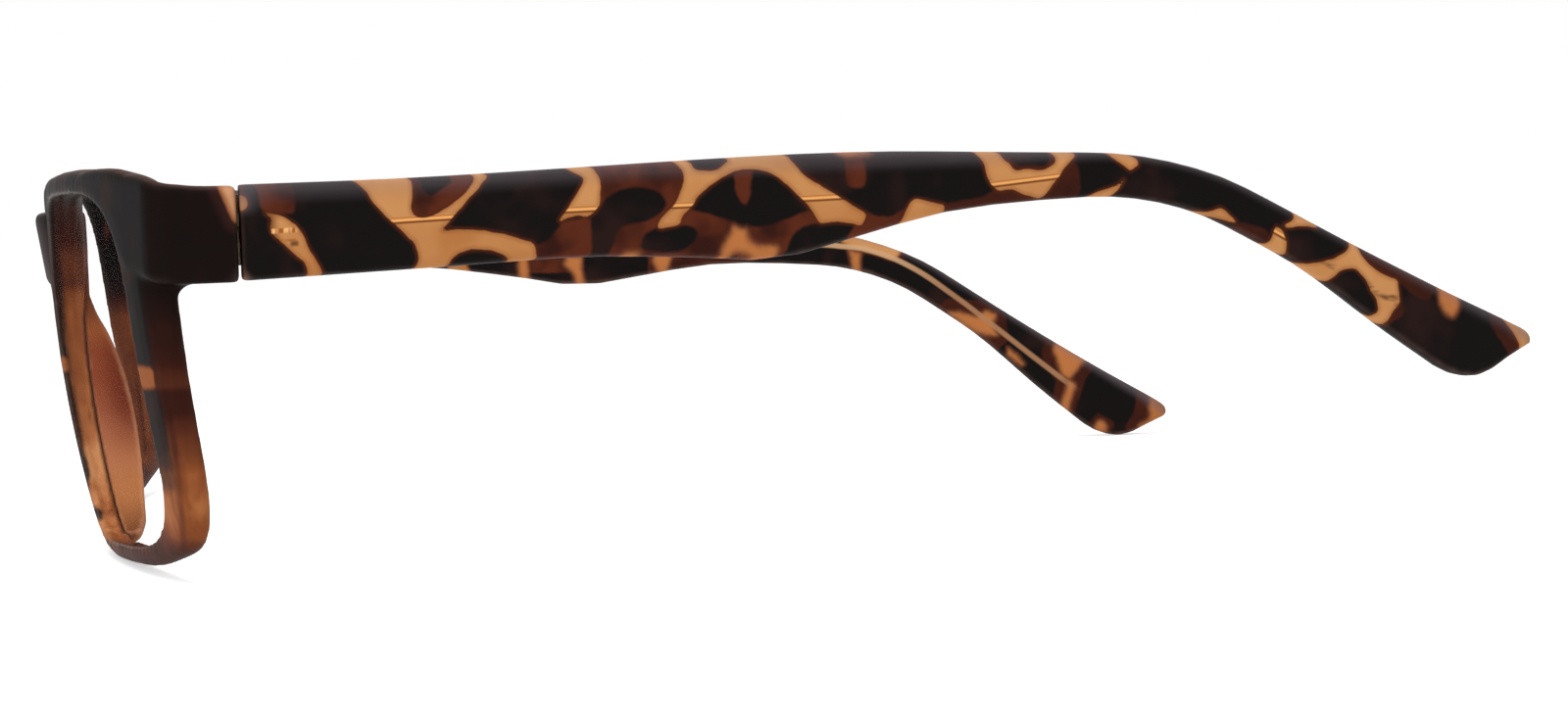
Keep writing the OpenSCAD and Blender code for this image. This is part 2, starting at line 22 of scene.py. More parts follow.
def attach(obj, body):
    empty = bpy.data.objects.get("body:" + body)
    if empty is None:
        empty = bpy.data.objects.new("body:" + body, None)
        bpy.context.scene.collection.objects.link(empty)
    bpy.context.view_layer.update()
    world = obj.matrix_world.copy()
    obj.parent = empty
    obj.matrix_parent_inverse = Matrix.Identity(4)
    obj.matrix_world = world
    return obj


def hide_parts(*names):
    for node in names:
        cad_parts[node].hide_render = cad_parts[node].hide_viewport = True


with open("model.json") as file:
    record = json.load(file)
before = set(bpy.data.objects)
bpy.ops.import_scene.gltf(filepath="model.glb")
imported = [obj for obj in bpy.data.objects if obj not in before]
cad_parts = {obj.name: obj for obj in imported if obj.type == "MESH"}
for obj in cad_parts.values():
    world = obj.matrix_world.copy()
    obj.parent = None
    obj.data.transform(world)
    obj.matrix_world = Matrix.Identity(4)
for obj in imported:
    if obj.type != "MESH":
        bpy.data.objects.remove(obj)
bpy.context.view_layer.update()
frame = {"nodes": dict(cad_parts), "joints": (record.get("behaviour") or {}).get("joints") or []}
mm = 0.001
print("solids:", sorted(frame["nodes"]))

# %% [markdown]
# ## Camera
# The glasses were photographed from the wearer's left, almost along the lenses, a
# little above the table. The camera's place and its three directions come from lining
# up the hinges, rims and temple tips, and the lens from how fast the temples narrow.

# %% Camera
def add_object(name, data):
    thing = bpy.data.objects.new(name, data)
    bpy.context.scene.collection.objects.link(thing)
    return thing


camera_place = Vector((0.43511, -0.08216, 0.04155))
camera_right = Vector((0.20725, 0.97747, -0.04014))
camera_up = Vector((-0.04587, 0.05069, 0.99766))
camera_back = camera_right.cross(camera_up)
camera_data = bpy.data.cameras.new("photo_camera")
camera_data.sensor_width = 36
camera_data.lens = 82.13
camera_data.clip_start = 0.01
camera = add_object("photo_camera", camera_data)
camera.matrix_world = (Matrix.Translation(camera_place)
                       @ Matrix((camera_right, camera_up, camera_back)).transposed().to_4x4())
bpy.context.scene.camera = camera
bpy.context.scene.view_settings.view_transform = "Standard"

# %% [markdown]
# ## A short way to write a finish
# Every finish is one Principled shader with some nodes before it. The class below
# holds the material and makes the few kinds of node that the finishes need, so that
# each finish further down reads as a recipe: a first colour, and then others that are
# laid over it. Colours are written as they look on screen, 0 to 255, and `tone` turns
# them into linear light. A value that is the same all over is set on the shader itself.

# %% Finish helper
class Finish:
    def __init__(self, name):
        self.material = bpy.data.materials.new(name)
        self.material.use_nodes = True
        self.tree = self.material.node_tree
        self.tree.nodes.clear()
        self.shader = self.node("BsdfPrincipled")
        self.node("OutputMaterial", Surface=self.shader.outputs["BSDF"])
        self.place = self.node("TexCoord").outputs["Object"]
        self.colour = None

    def node(self, kind, **values):
        node = self.tree.nodes.new("ShaderNode" + kind)
        self.fill(node, **values)
        return node

    def fill(self, node, **values):
        for name, value in values.items():
            self.give(node.inputs[name.replace("_", " ")], value)

    def give(self, socket, value):
        if isinstance(value, bpy.types.NodeSocket):
            self.tree.links.new(value, socket)
        else:
            socket.default_value = tone(*value) if socket.type == "RGBA" else value

    def stored(self, name):
        node = self.node("Attribute")
        node.attribute_name = name
        return node.outputs["Fac"]

    def parts(self, vector):
        return tuple(self.node("SeparateXYZ", Vector=vector).outputs)

    def math(self, operation, first, second=0.0):
        node = self.node("Math")
        node.operation = operation
        self.give(node.inputs[0], first)
        self.give(node.inputs[1], second)
        return node.outputs[0]

    def add(self, first, second):
        return self.math("ADD", first, second)

    def product(self, *values):
        result = values[0]
        for value in values[1:]:
            result = self.math("MULTIPLY", result, value)
        return result

    def noise(self, scale, detail=2.0, roughness=0.5, stretch=None):
        node = self.node("TexNoise", Scale=scale, Detail=detail, Roughness=roughness)
        place = self.place
        if stretch:
            place = self.node("Mapping", Vector=place, Scale=stretch).outputs[0]
        self.fill(node, Vector=place)
        return node.outputs["Fac"]

    def sway(self, scale, amount, stretch=None):
        """A noise that swings about nothing, by half of amount either way."""
        return self.product(self.math("SUBTRACT", self.noise(scale, stretch=stretch), 0.5), amount)

    def fade(self, value, start, end, low=0.0, high=1.0):
        node = self.node("MapRange", Value=value, From_Min=start, From_Max=end,
                         To_Min=low, To_Max=high)
        node.interpolation_type = "SMOOTHSTEP"
        return node.outputs[0]

    def band(self, value, start, end, soft):
        return self.product(self.fade(value, start - soft, start + soft),
                            self.fade(value, end - soft, end + soft, 1, 0))

    def mix(self, amount, first, second):
        node = self.node("Mix")
        node.data_type = "RGBA"
        self.fill(node, Factor=amount, A=first, B=second)
        return node.outputs["Result"]

    def lay(self, colour, *amounts):
        """Lays a colour over the ones before it, as thickly as all the amounts say together."""
        self.colour = self.mix(self.product(*amounts), self.colour, colour)

    def ramp(self, value, stops):
        node = self.node("ValToRGB")
        self.give(node.inputs[0], value)
        elements = node.color_ramp.elements
        while len(elements) < len(stops):
            elements.new(0.5)
        for element, (place, *colour) in zip(elements, stops):
            element.position = place
            element.color = tone(*colour)
        return node.outputs["Color"]

    def specks(self, spacing, radius):
        cells = self.node("TexVoronoi", Vector=self.place, Scale=1 / spacing)
        chosen = self.math("GREATER_THAN", self.parts(cells.outputs["Color"])[0], 0.7)
        near = self.math("LESS_THAN", cells.outputs["Distance"], radius / spacing)
        return self.product(chosen, near)

    def bump(self, height, strength, distance):
        node = self.node("Bump", Height=height, Strength=strength, Distance=distance)
        self.fill(self.shader, Normal=node.outputs[0])

    def done(self, **values):
        """Gives the shader its colour and its own values, and hands the material over."""
        self.fill(self.shader, Base_Color=self.colour, **values)
        return self.material


def tone(red, green, blue):
    def linear(value):
        value = value / 255
        return value / 12.92 if value <= 0.04045 else ((value + 0.055) / 1.055) ** 2.4
    return (linear(red), linear(green), linear(blue), 1.0)


amber_tan = (202, 144, 90)
amber_deep = (178, 114, 62)
amber_rim = (146, 84, 42)
orange_deep = (182, 112, 62)
chestnut = (50, 22, 16)
chestnut_pale = (88, 40, 24)
chestnut_rim = (84, 38, 20)
near_black = (18, 14, 14)

# %% [markdown]
# ## Where the bridge meets the rims
# The bridge's solid ends in a steep corner beside each rim, with a notch behind it. On
# glasses of this kind the top line is one soft curve. Two steps give it to the front's
# copy: the bridge's upper edge is let down on to `top_line`, and wedges fill the notch up
# to the same line. The remesh in the next cell melts them and the rims into one skin.
# Numbers are in millimetres, and a table is read by `read_off`, between its rows too.

# %% Bridge blend
bridge_end = 7.2
bridge_height, bridge_rise, bridge_curve = 39.05, 2.6, 4
rim_top, rim_rise, rim_curve = 14, 1.95, 2.9
slack = 0.1
let_down_above = 37
top_rounding = 1
wedge_low = ((6.8, 33.0), (8, 34.3), (9, 35.7), (10, 36.7), (11.2, 37.5), (12.6, 38.3),
             (14.4, 39.1))
wedge_front = ((6.8, -79.62), (9, -79.78), (11, -79.86), (14.4, -79.94))
wedge_back = ((6.8, -75.4), (9, -75.74), (14.4, -75.78))


def read_off(table, place):
    return np.interp(place, *zip(*table))


def top_line(x):
    return bridge_height + rim_rise * (abs(x) / rim_top) ** rim_curve


def wedge_section(x, low):
    front_side, back_side = read_off(wedge_front, x), read_off(wedge_back, x)
    section = [(front_side, low), (back_side, low)]
    for degrees in (0, 30, 60, 90):
        turn = math.radians(degrees)
        up = top_line(x) - top_rounding + top_rounding * math.sin(turn)
        for centre, way in ((front_side + top_rounding, -1), (back_side - top_rounding, 1)):
            section.append((centre + way * top_rounding * math.cos(turn), up))
    return section


def soften_bridge(shape):
    for vert in shape.verts:
        x = abs(vert.co.x) / mm
        if x < bridge_end + slack and vert.co.z > let_down_above * mm:
            old_line = bridge_height + bridge_rise * (x / bridge_end) ** bridge_curve
            vert.co.z -= (old_line - top_line(x)) * mm
    for side in (-1, 1):
        for ends in zip(wedge_low, wedge_low[1:]):
            block = [shape.verts.new((side * x * mm, y * mm, z * mm))
                     for x, low in ends for y, z in wedge_section(x, low)]
            bmesh.ops.convex_hull(shape, input=block)


# %% [markdown]
# ## Polished copies of the moulded pieces
# A frame like this is milled from sheet and tumbled in wood chips for a day, so no
# edge is left sharp. Bevelling every edge of a lofted rim by hand would be slow and
# uneven. Here the piece's solid is copied, its loose triangles are welded, an even skin
# of small squares is laid over it with a voxel remesh, and a few rounds of smoothing
# rub the edges down, as the tumbling does.

# %% Polished copies
weld_distance = 0.002 * mm


def welded(node):
    shape = bmesh.new()
    shape.from_mesh(frame["nodes"][node].data)
    bmesh.ops.remove_doubles(shape, verts=shape.verts, dist=weld_distance)
    return shape


def made_object(name, shape):
    mesh = bpy.data.meshes.new(name)
    shape.to_mesh(mesh)
    shape.free()
    return add_object(name, mesh)


def polished(node, name, voxel, rounds, reshape=None):
    shape = welded(node)
    if reshape:
        reshape(shape)
    piece = made_object(name, shape)
    even = piece.modifiers.new("even_skin", "REMESH")
    even.mode = "VOXEL"
    even.voxel_size = voxel
    even.use_smooth_shade = True
    rub = piece.modifiers.new("tumbled_edges", "SMOOTH")
    rub.factor = 0.5
    rub.iterations = rounds
    bpy.context.view_layer.update()
    result = piece.evaluated_get(bpy.context.evaluated_depsgraph_get())
    finished = bpy.data.meshes.new_from_object(result)
    piece.modifiers.clear()
    piece.data = finished
    finished.name = name
    print(name, "faces:", len(finished.polygons))
    return piece


front = polished("front_frame", "polished_front", 0.34 * mm, 6, soften_bridge)
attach(front, "front")
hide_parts("front_frame")

pads = []
for side in ("left", "right"):
    pad = polished("nose_pad_" + side, "polished_nose_pad_" + side, 0.25 * mm, 4)
    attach(pad, "front")
    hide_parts("nose_pad_" + side)
    pads.append(pad)

temples = {}
for side in ("left", "right"):
    temple = polished("temple_" + side, "polished_temple_" + side, 0.3 * mm, 5)
    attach(temple, side + "_arm")
    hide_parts("temple_" + side)
    temples[side] = temple

# %% [markdown]
# ## Numbers kept on the points
# The patterns follow the pieces, so they are worked out once for every point of a mesh
# and kept there as attributes, which the finishes read. `sharpness` tells how much a
# point stands out over its neighbours: it is high on a rounded edge and nothing on a
# flat. The finishes use it to paint a highlight on the rounded edges. On the temples the
# same measure, spread wider, gives a band beside each edge that carries a painted sheen,
# and the downward edges carry a painted reflection of the table.

# %% Point values
def values_of(items, name, size, kind=float):
    values = np.zeros(len(items) * size, kind)
    items.foreach_get(name, values)
    return values.reshape(-1, size)


def points_of(mesh):
    return values_of(mesh.vertices, "co", 3) / mm


def normals_of(mesh):
    return values_of(mesh.vertex_normals, "vector", 3)


def averaged(mesh, values, rounds, own_share=0.5):
    ends = values_of(mesh.edges, "vertices", 2, int)
    near, far = np.concatenate([ends, ends[:, ::-1]]).T
    count = np.maximum(np.bincount(near, minlength=len(values)), 1)
    for round_number in range(rounds):
        around = np.bincount(near, values[far], minlength=len(values)) / count
        values = own_share * values + (1 - own_share) * around
    return values


def sharpness(mesh):
    points = points_of(mesh)
    start, end = values_of(mesh.edges, "vertices", 2, int).T
    middle = np.stack([averaged(mesh, points[:, axis], 1, 0) for axis in range(3)], 1)
    spacing = np.linalg.norm(points[start] - points[end], axis=1).mean()
    return averaged(mesh, 4 * ((points - middle) * normals_of(mesh)).sum(1) / spacing ** 2, 7)


def rising(values, start, width):
    return np.clip((values - start) / width, 0, 1)


def store(piece, **numbers):
    for name, values in numbers.items():
        attribute = piece.data.attributes.new(name, "FLOAT", "POINT")
        attribute.data.foreach_set("value", np.asarray(values, np.float32))


sheen_spread = 50
for piece in [front, *pads, *temples.values()]:
    standing_out = sharpness(piece.data)
    # Where a highlight is painted on the rounded edges.
    store(piece, edge=rising(standing_out, 0.8, 1.2))
    if piece in temples.values():
        # A band of painted sheen beside the edges, and a painted reflection of the table on the
        # downward edges.
        downward = np.clip(-1.6 * normals_of(piece.data)[:, 2] - 0.3, 0, 1)
        store(piece, near_edge=rising(averaged(piece.data, standing_out, sheen_spread), 0.1, 0.5),
              lower_edge=rising(standing_out, 0.6, 1.2) * downward)
    print(piece.name, "share of edge points:", round(float((standing_out > 1.4).mean()), 3))

# %% [markdown]
# ## Where a point lies on a temple
# The brown patches follow the temple as it bends, so they are drawn in the temple's
# own coordinates: `along` is the distance from the joint down the middle line, `above`
# is the height over that line, and `depth` is how far in from the outer face. The
# middle line is straight, then turns down on an arc, then is straight again, and the
# whole temple curves in a little behind the ear. Each temple's own tilt comes from its
# hinge joint in the frame.

# %% Temple coordinates
middle_slope = math.radians(1.3)
straight_length = 90.0
ear_radius = 34.0
ear_angle = math.radians(29.7)
joint_to_start = np.array((0.17, 0.405))
outer_face = 68.0
toe_in = math.radians(0.14)
hug_start = 95.0
hug_radius = 215.0


def directions(angle):
    cosine, sine = math.cos(angle), math.sin(angle)
    return np.array((cosine, -sine)), np.array((sine, cosine))


def temple_coordinates(piece, joint_name):
    joint = next(j for j in frame["joints"] if j["name"] == joint_name)
    up = np.array(joint["axis"][1:]) * (1 if joint["axis"][2] > 0 else -1)
    back = np.array((up[1], -up[0]))
    points = points_of(piece.data)
    offset = points[:, 1:] - np.array(joint["pos_m"][1:]) / mm
    flat = np.stack([offset @ back, offset @ up], 1) - joint_to_start

    ahead, over = directions(middle_slope)
    along, above = flat @ ahead, flat @ over
    spoke = flat - straight_length * ahead + ear_radius * over
    turned = np.arctan2(spoke @ ahead, spoke @ over)
    tip_ahead, tip_over = directions(middle_slope + ear_angle)
    tip = spoke - ear_radius * tip_over
    past_straight = along > straight_length
    stretches = [past_straight & (turned <= ear_angle), past_straight & (turned > ear_angle)]
    bend_along, bend_above = straight_length + ear_radius * turned, np.hypot(*spoke.T) - ear_radius
    tip_along = straight_length + ear_radius * ear_angle + tip @ tip_ahead
    behind = flat[:, 0] + 2 * joint_to_start[0]
    outside = (outer_face - math.tan(toe_in) * behind
               - np.maximum(behind - hug_start, 0) ** 2 / (2 * hug_radius))
    return (np.select(stretches, [bend_along, tip_along], along),
            np.select(stretches, [bend_above, tip @ tip_over], above),
            outside - np.abs(points[:, 0]))


# %% [markdown]
# ## Drawing the patches
# Tortoiseshell sheet is made by pressing chips of dark and red-brown plastic into a
# clear amber one. On this temple the dark chips leave only windows of amber between them,
# so the windows are drawn, each as an outline of a few corners, which are rounded a
# little. What is kept on the mesh is not a colour but the distance to the nearest
# window's edge, in millimetres, below zero outside. The finish turns that distance into
# an edge that stays crisp close up.

# %% Distance to the chips
corner_reach = 0.45
most_of_side = 0.45
corner_steps = (0, 0.3, 0.7, 1)
far_off = 1e9


def rounded(outline):
    corners = np.array(outline, float)
    result = []
    for before, corner, after in zip(np.roll(corners, 1, 0), corners, np.roll(corners, -1, 0)):
        start, end = (corner + (other - corner)
                      * min(most_of_side, corner_reach / np.linalg.norm(other - corner))
                      for other in (before, after))
        result += [(1 - t) ** 2 * start + 2 * t * (1 - t) * corner + t * t * end
                   for t in corner_steps]
    return np.array(result)


def inside_shape(across, up, outline):
    points = np.stack([across, up], 1)
    corners = rounded(outline)
    nearest = np.full(len(points), far_off)
    inside = np.zeros(len(points), bool)
    for start, end in zip(corners, np.roll(corners, -1, 0)):
        edge = end - start
        rest = points - start
        part_way = np.clip(rest @ edge / max(edge @ edge, 1e-12), 0, 1)
        nearest = np.minimum(nearest, np.hypot(*(rest - part_way[:, None] * edge).T))
        crosses = (start[1] > points[:, 1]) != (end[1] > points[:, 1])
        at = start[0] + (points[:, 1] - start[1]) / (edge[1] or 1e-9) * edge[0]
        inside ^= crosses & (points[:, 0] < at)
    return np.where(inside, nearest, -nearest)


def inside_any(across, up, shapes):
    return np.max([inside_shape(across, up, shape) for shape in shapes], 0)


# %% [markdown]
# ## The windows and chips of the left temple
# These are the amber windows seen on the near temple, from the joint to the tip, as corners
# of `along` and `above` in millimetres. The dark round them has red-brown chips in it, with
# darker ones laid over those. Four windows are deeper in the sheet, so their edges are soft
# and their tone is orange.

# %% Left temple windows
left_amber = [
    [(-1, 3.5), (0.5, 3.6), (0.95, 3), (0.9, 2.3), (0.4, 1.9), (-1, 1.8)],
    [(2.4, 1.7), (3.3, 0.9), (2.9, 0.2), (3.1, -0.6), (3.8, -1.3), (5, -2.6), (6.3, -3.8),
     (6.8, -5.3), (6.9, -7), (8.8, -7), (8.5, -5.4), (8.1, -4.8), (7.3, -3.4), (6.7, -2.2),
     (6.2, -0.7), (5.6, 0.1), (5, 0.6), (4.4, 1.1)],
    [(12.2, 6), (12.2, 4), (12.9, 3.25), (13.6, 1.9), (14.75, 0.4), (15.9, -0.75), (16.6, -1.5),
     (17.1, -2.1), (17.5, -2.3), (17.7, -3.1), (17.9, -4), (17.8, -4.8), (17.5, -7), (21, -7),
     (21.15, -5), (21.5, -4.2), (22.2, -3.8), (23, -3.6), (24, -3.55), (25, -3.7), (26.25, -4.1),
     (27, -4.5), (27.5, -5), (27.6, -7), (30.8, -7), (30.5, -5.2), (30.1, -4.2), (29.9, -3.3),
     (29.25, -3.1), (28, -2.6), (26.5, -2.1), (25, -1.75), (23.5, -1.5), (22, -1.4), (20.8, -1.45),
     (20.4, -1.35), (20.9, -0.9), (21.75, 0), (22.9, 1.1), (23.6, 1.9), (24.4, 2.5), (25, 3.25),
     (25.8, 3.8), (26, 6), (24.6, 6), (24.4, 3.75), (23.75, 2.9), (22.75, 2), (21.5, 1.1),
     (20, 0.35), (19, 0), (17.9, 0.1), (17.4, 0.75), (17.6, 2), (17.9, 4), (18, 6)],
    [(34.2, 6), (34.25, 3.9), (35.6, 3.05), (35.1, 2.1), (34.25, 0.9), (33.4, -0.25), (32.75, -1),
     (32.6, -1.3), (33.1, -1.15), (34, -0.85), (35, -0.8), (35.6, -1.1), (36.4, -0.5), (37.1, 0.3),
     (37.1, 1.2), (37.3, 2.1), (37.2, 3), (36.9, 3.8), (36.9, 6)],
    [(45.5, 6), (45.5, 3.9), (45.9, 3.4), (46.05, 2.5), (45.9, 1.75), (45.5, 0.9), (45.05, 0),
     (44.75, -0.35), (43.75, -1.25), (43.1, -1.9), (42.9, -2.5), (43.1, -2.75), (44, -2.65),
     (44.75, -2.55), (45.35, -2.35), (45.5, -1.75), (45.8, -1.25), (46.25, -0.95), (46.75, -0.5),
     (47.25, 0.25), (48.5, 1.25), (49.9, 2.1), (51.25, 2.7), (52.6, 2.9), (54, 2.8), (55.25, 2.4),
     (56.25, 1.7), (57.25, 0.7), (58.1, -0.25), (58.9, -1.1), (59.5, -2), (59.9, -2.75),
     (60.2, -3.25), (61, -3.25), (62.5, -3.25), (63.75, -3.5), (64.75, -3.9), (65.15, -3.25),
     (65.4, -2.5), (64.5, -2.05), (63.5, -1.3), (62.5, -0.65), (61.25, 0.25), (60.1, 1),
     (59.1, 1.7), (58.5, 2.3), (58, 3.05), (57.6, 3.8), (57.6, 6), (51.3, 6), (51.2, 3.9),
     (50.6, 3.6), (50, 3.2), (49.2, 2.95), (48, 3), (47.3, 3.25), (47.1, 3.8), (47.1, 6)],
    [(69, -5), (69.6, -2.6), (70.1, -1.7), (70.7, -1.25), (71.8, -1.6), (73, -2), (73.9, -2.05),
     (74.1, -2.6), (74.5, -3.2), (74.6, -5)],
    [(77.9, 6), (77.9, 2.95), (78.3, 2.25), (78.55, 1.4), (78.6, 0.6), (78.9, -0.15), (79.4, -0.75),
     (79.8, -1.1), (80.8, -1), (81.6, -1.1), (82.2, -1.45), (83, -1.75), (84, -2.05), (84.9, -2.25),
     (85.4, -1.5), (85.9, -0.75), (86.4, -0.25), (86.75, 0.25), (87.25, 0.9), (88, 1.5), (89, 2.25),
     (89, 6), (86.3, 6), (86.4, 2.35), (86.5, 1.75), (86, 1.25), (85, 0.85), (84, 0.8),
     (83.25, 1.1), (82, 0.9), (81.6, 1.15), (81.4, 1.6), (80.7, 2.2), (80.6, 2.9), (80.6, 6)],
    [(92.4, 6), (92.4, 2), (93.1, 1.4), (93.8, 0.9), (94.4, 0.4), (95, 0.75), (95.45, 1.1),
     (95.4, 1.75), (95, 2), (95, 6)],
    [(94, -0.4), (93.3, -1.1), (92, -1.6), (90.6, -2), (89.9, -2.6), (89.9, -5), (92.8, -5),
     (92.9, -2.5), (93.4, -1.6)],
    [(105.5, -1), (106.5, -1.25), (108.3, -1.8), (107, -2.05), (104.5, -2.6), (102, -3),
     (103.5, -2.4), (104.75, -1.9)],
    [(113.9, 6), (113.9, 1.9), (113.9, 1.3), (113.2, 0.6), (113, 0.2), (113.5, 0.25), (114.5, 0.9),
     (115.75, 1.5), (117.2, 1.95), (117.2, 6)],
    [(112.25, -0.1), (113.1, -0.15), (114, -0.9), (114.6, -1.75), (115.2, -2.6), (115.4, -5),
     (112.2, -5), (112.5, -1.75), (112.2, -0.6)],
    [(121.3, 6), (121.3, 1.9), (121.2, 1.4), (120.75, 0.6), (120, -0.25), (119, -1.1), (118, -1.9),
     (116.75, -2.6), (116.5, -5), (120.6, -5), (120.6, -3), (121, -2), (121.4, -1), (122.25, -0.4),
     (123, -0.15), (124.5, -0.75), (125.5, -1.5), (126.75, -2.1), (127.5, -3), (127.25, -4),
     (127.2, -6), (128.9, -6), (129, -3.25), (129.15, -2), (129.4, -1.1), (129, -0.5),
     (128.5, 0.25), (128.1, 1), (126, 0.75), (124, 1), (123, 1.5), (122.6, 1.9), (122.6, 6)],
    [(142.4, 6), (142.6, 2.6), (143.5, 2.25), (144.5, 1.6), (145.25, 1), (145.75, 0.5), (148, 0.5),
     (148, 6)],
]
left_orange = [
    [(39.2, -4.9), (40.4, -4.6), (41.5, -5), (41.6, -6.4), (39.2, -6.4)],
    [(50.8, -2.6), (51.6, -3), (52.6, -3.1), (52.6, -4), (53, -4.7), (54, -5), (55.3, -5),
     (56, -5.5), (56, -8), (53.4, -8), (52.6, -6.3), (51, -5.9), (50.4, -8), (49.1, -8), (49.5, -5),
     (50, -4.2), (50.5, -3.4)],
    [(62.7, 6), (62.8, 3.5), (64, 3.3), (66, 3.4), (66.8, 3.6), (66.8, 6)],
    [(133.1, 6), (133.1, 2.1), (133.4, 1.4), (133.9, 0.6), (134.75, 0.1), (136.1, -0.1),
     (136.4, 0.5), (136.6, 1.4), (136.4, 6)],
]
left_brown = [
    [(1.9, 6), (2, 2.2), (2.7, 1.4), (5.6, 1.2), (5.8, 2.4), (5.7, 6)],
    [(17, 6), (17, -0.4), (21, 0), (24.5, 2.5), (25.4, 6)],
    [(29.8, -3.6), (31.5, -3), (33, -1.2), (36, -1), (36.3, -2), (36.4, -7), (30, -7)],
    [(36.6, 6), (36.6, -1), (36.8, -8), (50, -8), (50.6, -4), (51.4, -2.4), (50, -2.1),
     (48.6, -1.5), (46.2, -0.8), (46, -1), (46.4, 6)],
    [(51.2, 3.4), (51.4, 0.6), (51.8, -0.7), (52.5, -0.9), (53, 0), (53.2, 1.5), (53.7, 3.4)],
    [(51.8, -3.1), (54, -3.1), (55.5, -2.9), (57, -2.4), (58.4, -1.9), (60, -1.8), (61, -3.1),
     (58.5, -3.5), (57.4, -4.2), (56.8, -5.3), (56.4, -8), (51, -8)],
    [(63.3, 6), (63.3, 0.6), (64, 0.1), (65, 0.1), (65.6, 0.8), (65.5, 6)],
    [(64, -3.4), (65.3, -2.3), (66.5, -2.9), (68, -3), (70, -2), (69.2, -5), (66, -6), (63.2, -5)],
    [(74, -2), (78, -1.6), (80, -0.6), (85.4, -2), (87, -5), (73.6, -5)],
    [(80, 6), (80.2, 1.4), (82, 0.5), (87, 0.8), (87.4, 2.4), (87, 6)],
    [(85, -5), (85.4, -1), (87.2, 1.1), (88.6, 1.7), (88.9, 0.6), (89, -1), (89.6, -5)],
    [(108.4, -1.4), (111.4, -0.9), (112.6, -1.6), (112.6, -5), (108, -5)],
    [(122.4, 6), (122.8, 1.4), (124, 0.8), (126, 0.5), (128.2, 0.8), (130.4, 0.2), (132.6, 0.4),
     (133.6, 6)],
    [(128.6, -6), (128.8, -2), (129.3, -0.9), (130.2, -1.2), (130.4, -2.4), (129.6, -3.4),
     (129.6, -6)],
    [(139.6, 6), (140.6, 1.6), (142.4, 0.6), (144.4, -0.4), (146.6, -0.6), (147, 6)],
]
left_dark = [
    [(18.8, 6), (18.9, 2.8), (19.4, 2.25), (20, 2.5), (20.75, 3), (21.75, 3.4), (22.4, 6)],
    [(36, -1.4), (36.7, -0.5), (37.5, 0.65), (38.6, 1.3), (39.8, 1.65), (41.1, 1.7), (42.3, 1.5),
     (43.3, 1), (43.9, 0.35), (43.95, -0.25), (43.5, -0.9), (42.7, -1.4), (41.7, -1.8),
     (40.5, -1.95), (39.4, -2), (38.6, -2.6), (38.2, -3.8), (37.8, -5), (37.6, -7), (36, -7)],
    [(41, -4.6), (41.4, -3.4), (42.2, -2.8), (43.4, -2.5), (46, -2.6), (47.1, -3), (47, -3.8),
     (46.3, -4.6), (45.2, -5.2), (43.8, -5.2)],
    [(81, 6), (81.4, 2.2), (82.4, 1.4), (83.6, 1.5), (85, 1.3), (85.8, 1.8), (86, 6)],
]

# %% [markdown]
# ## The windows of the right temple
# The far temple shows its inner face: one long dark patch past the near temple's edge, with
# amber windows before the ear, on the bend and at the very tip. Towards the joint, where
# the near temple hides it, the left temple's windows are laid again, moved along. Those
# that would break the dark patch at the lower edge are left out.

# %% Right temple windows
moved_along = 9.0
hidden_length = 64.0
patch_start, patch_end, patch_top = 44, 60, -2.5
right_amber = [
    [(79.8, 6), (80.4, -0.4), (82.4, -0.2), (84, 2.6), (84, 6)],
    [(91.6, 6), (92.4, 1.2), (94.4, 0.4), (100.4, 0.4), (101, 1.1), (100.8, 6)],
]
right_orange = [
    [(46.2, -3), (47.8, -3), (48.2, -5), (48, -8), (46.4, -8)],
    [(53.2, -2.4), (55.6, -2.4), (55.6, -4), (56.4, -8), (54.4, -8), (54.2, -5.2), (52.6, -4)],
    [(65.4, -1.6), (68.6, -1.6), (68.2, -3), (67.6, -5), (66.4, -5), (65.4, -3.2)],
    [(93.4, 0.4), (95.9, 0.4), (95.9, -0.9), (96.4, -2.8), (94.6, -2.8), (94, -0.8)],
    [(110.8, -2.3), (112.4, -1.2), (115, -0.5), (115.6, 1.2), (117.6, 1.3), (118, -0.4),
     (119.6, -1.2), (118.6, -2), (116, -2.9), (112, -2.7)],
    [(121, -1.8), (123.2, -2), (125, -2.6), (124.6, -3.4), (121.8, -3.2)],
    [(126.2, 3.2), (127, 1), (128.6, -0.2), (130, -1.4), (131.6, -1.4), (131.8, 0.6), (132.2, 3.2)],
    [(131, -1), (132.6, -1), (133.2, -2.8), (134.2, -6), (132.2, -6), (131.6, -3)],
    [(137.8, -4), (138.8, -3.3), (139.9, -4), (140.2, -6), (138, -6)],
    [(141.8, 3.4), (143.2, 1.2), (143.8, 0.2), (143, -1.8), (145.4, -1.8), (147, 0), (147, 3.4)],
]
right_brown = [
    [(47.6, -3), (54, -3), (54, -5), (48, -5.4)],
    [(64.8, -1.6), (77, -1.2), (79.4, 1), (79, 6), (85.4, 6), (83.4, -0.8), (76, -3.2), (68.6, -6),
     (64.8, -6)],
    [(100.4, 6), (102.4, 6), (101.8, 0.6), (100.4, 0.2)],
    [(109, -4), (110, -0.6), (114.6, 1.8), (118.6, 1.8), (121, -1), (120, -4)],
    [(124.8, 3.4), (126, -0.4), (130, -2.6), (131, -6), (135, -6), (133.4, 0), (133.6, 3.4)],
    [(136.8, -6), (137.4, -3), (140.4, -2.8), (141, -6)],
    [(140, 3.4), (141.6, 0), (141.8, -3), (145, -3), (145, 3.4)],
]


def moved(outlines):
    kept = [[(a + moved_along, b) for a, b in outline] for outline in outlines]
    return [outline for outline in kept if max(a for a, b in outline) < hidden_length
            and not any(patch_start < a < patch_end and b < patch_top for a, b in outline)]


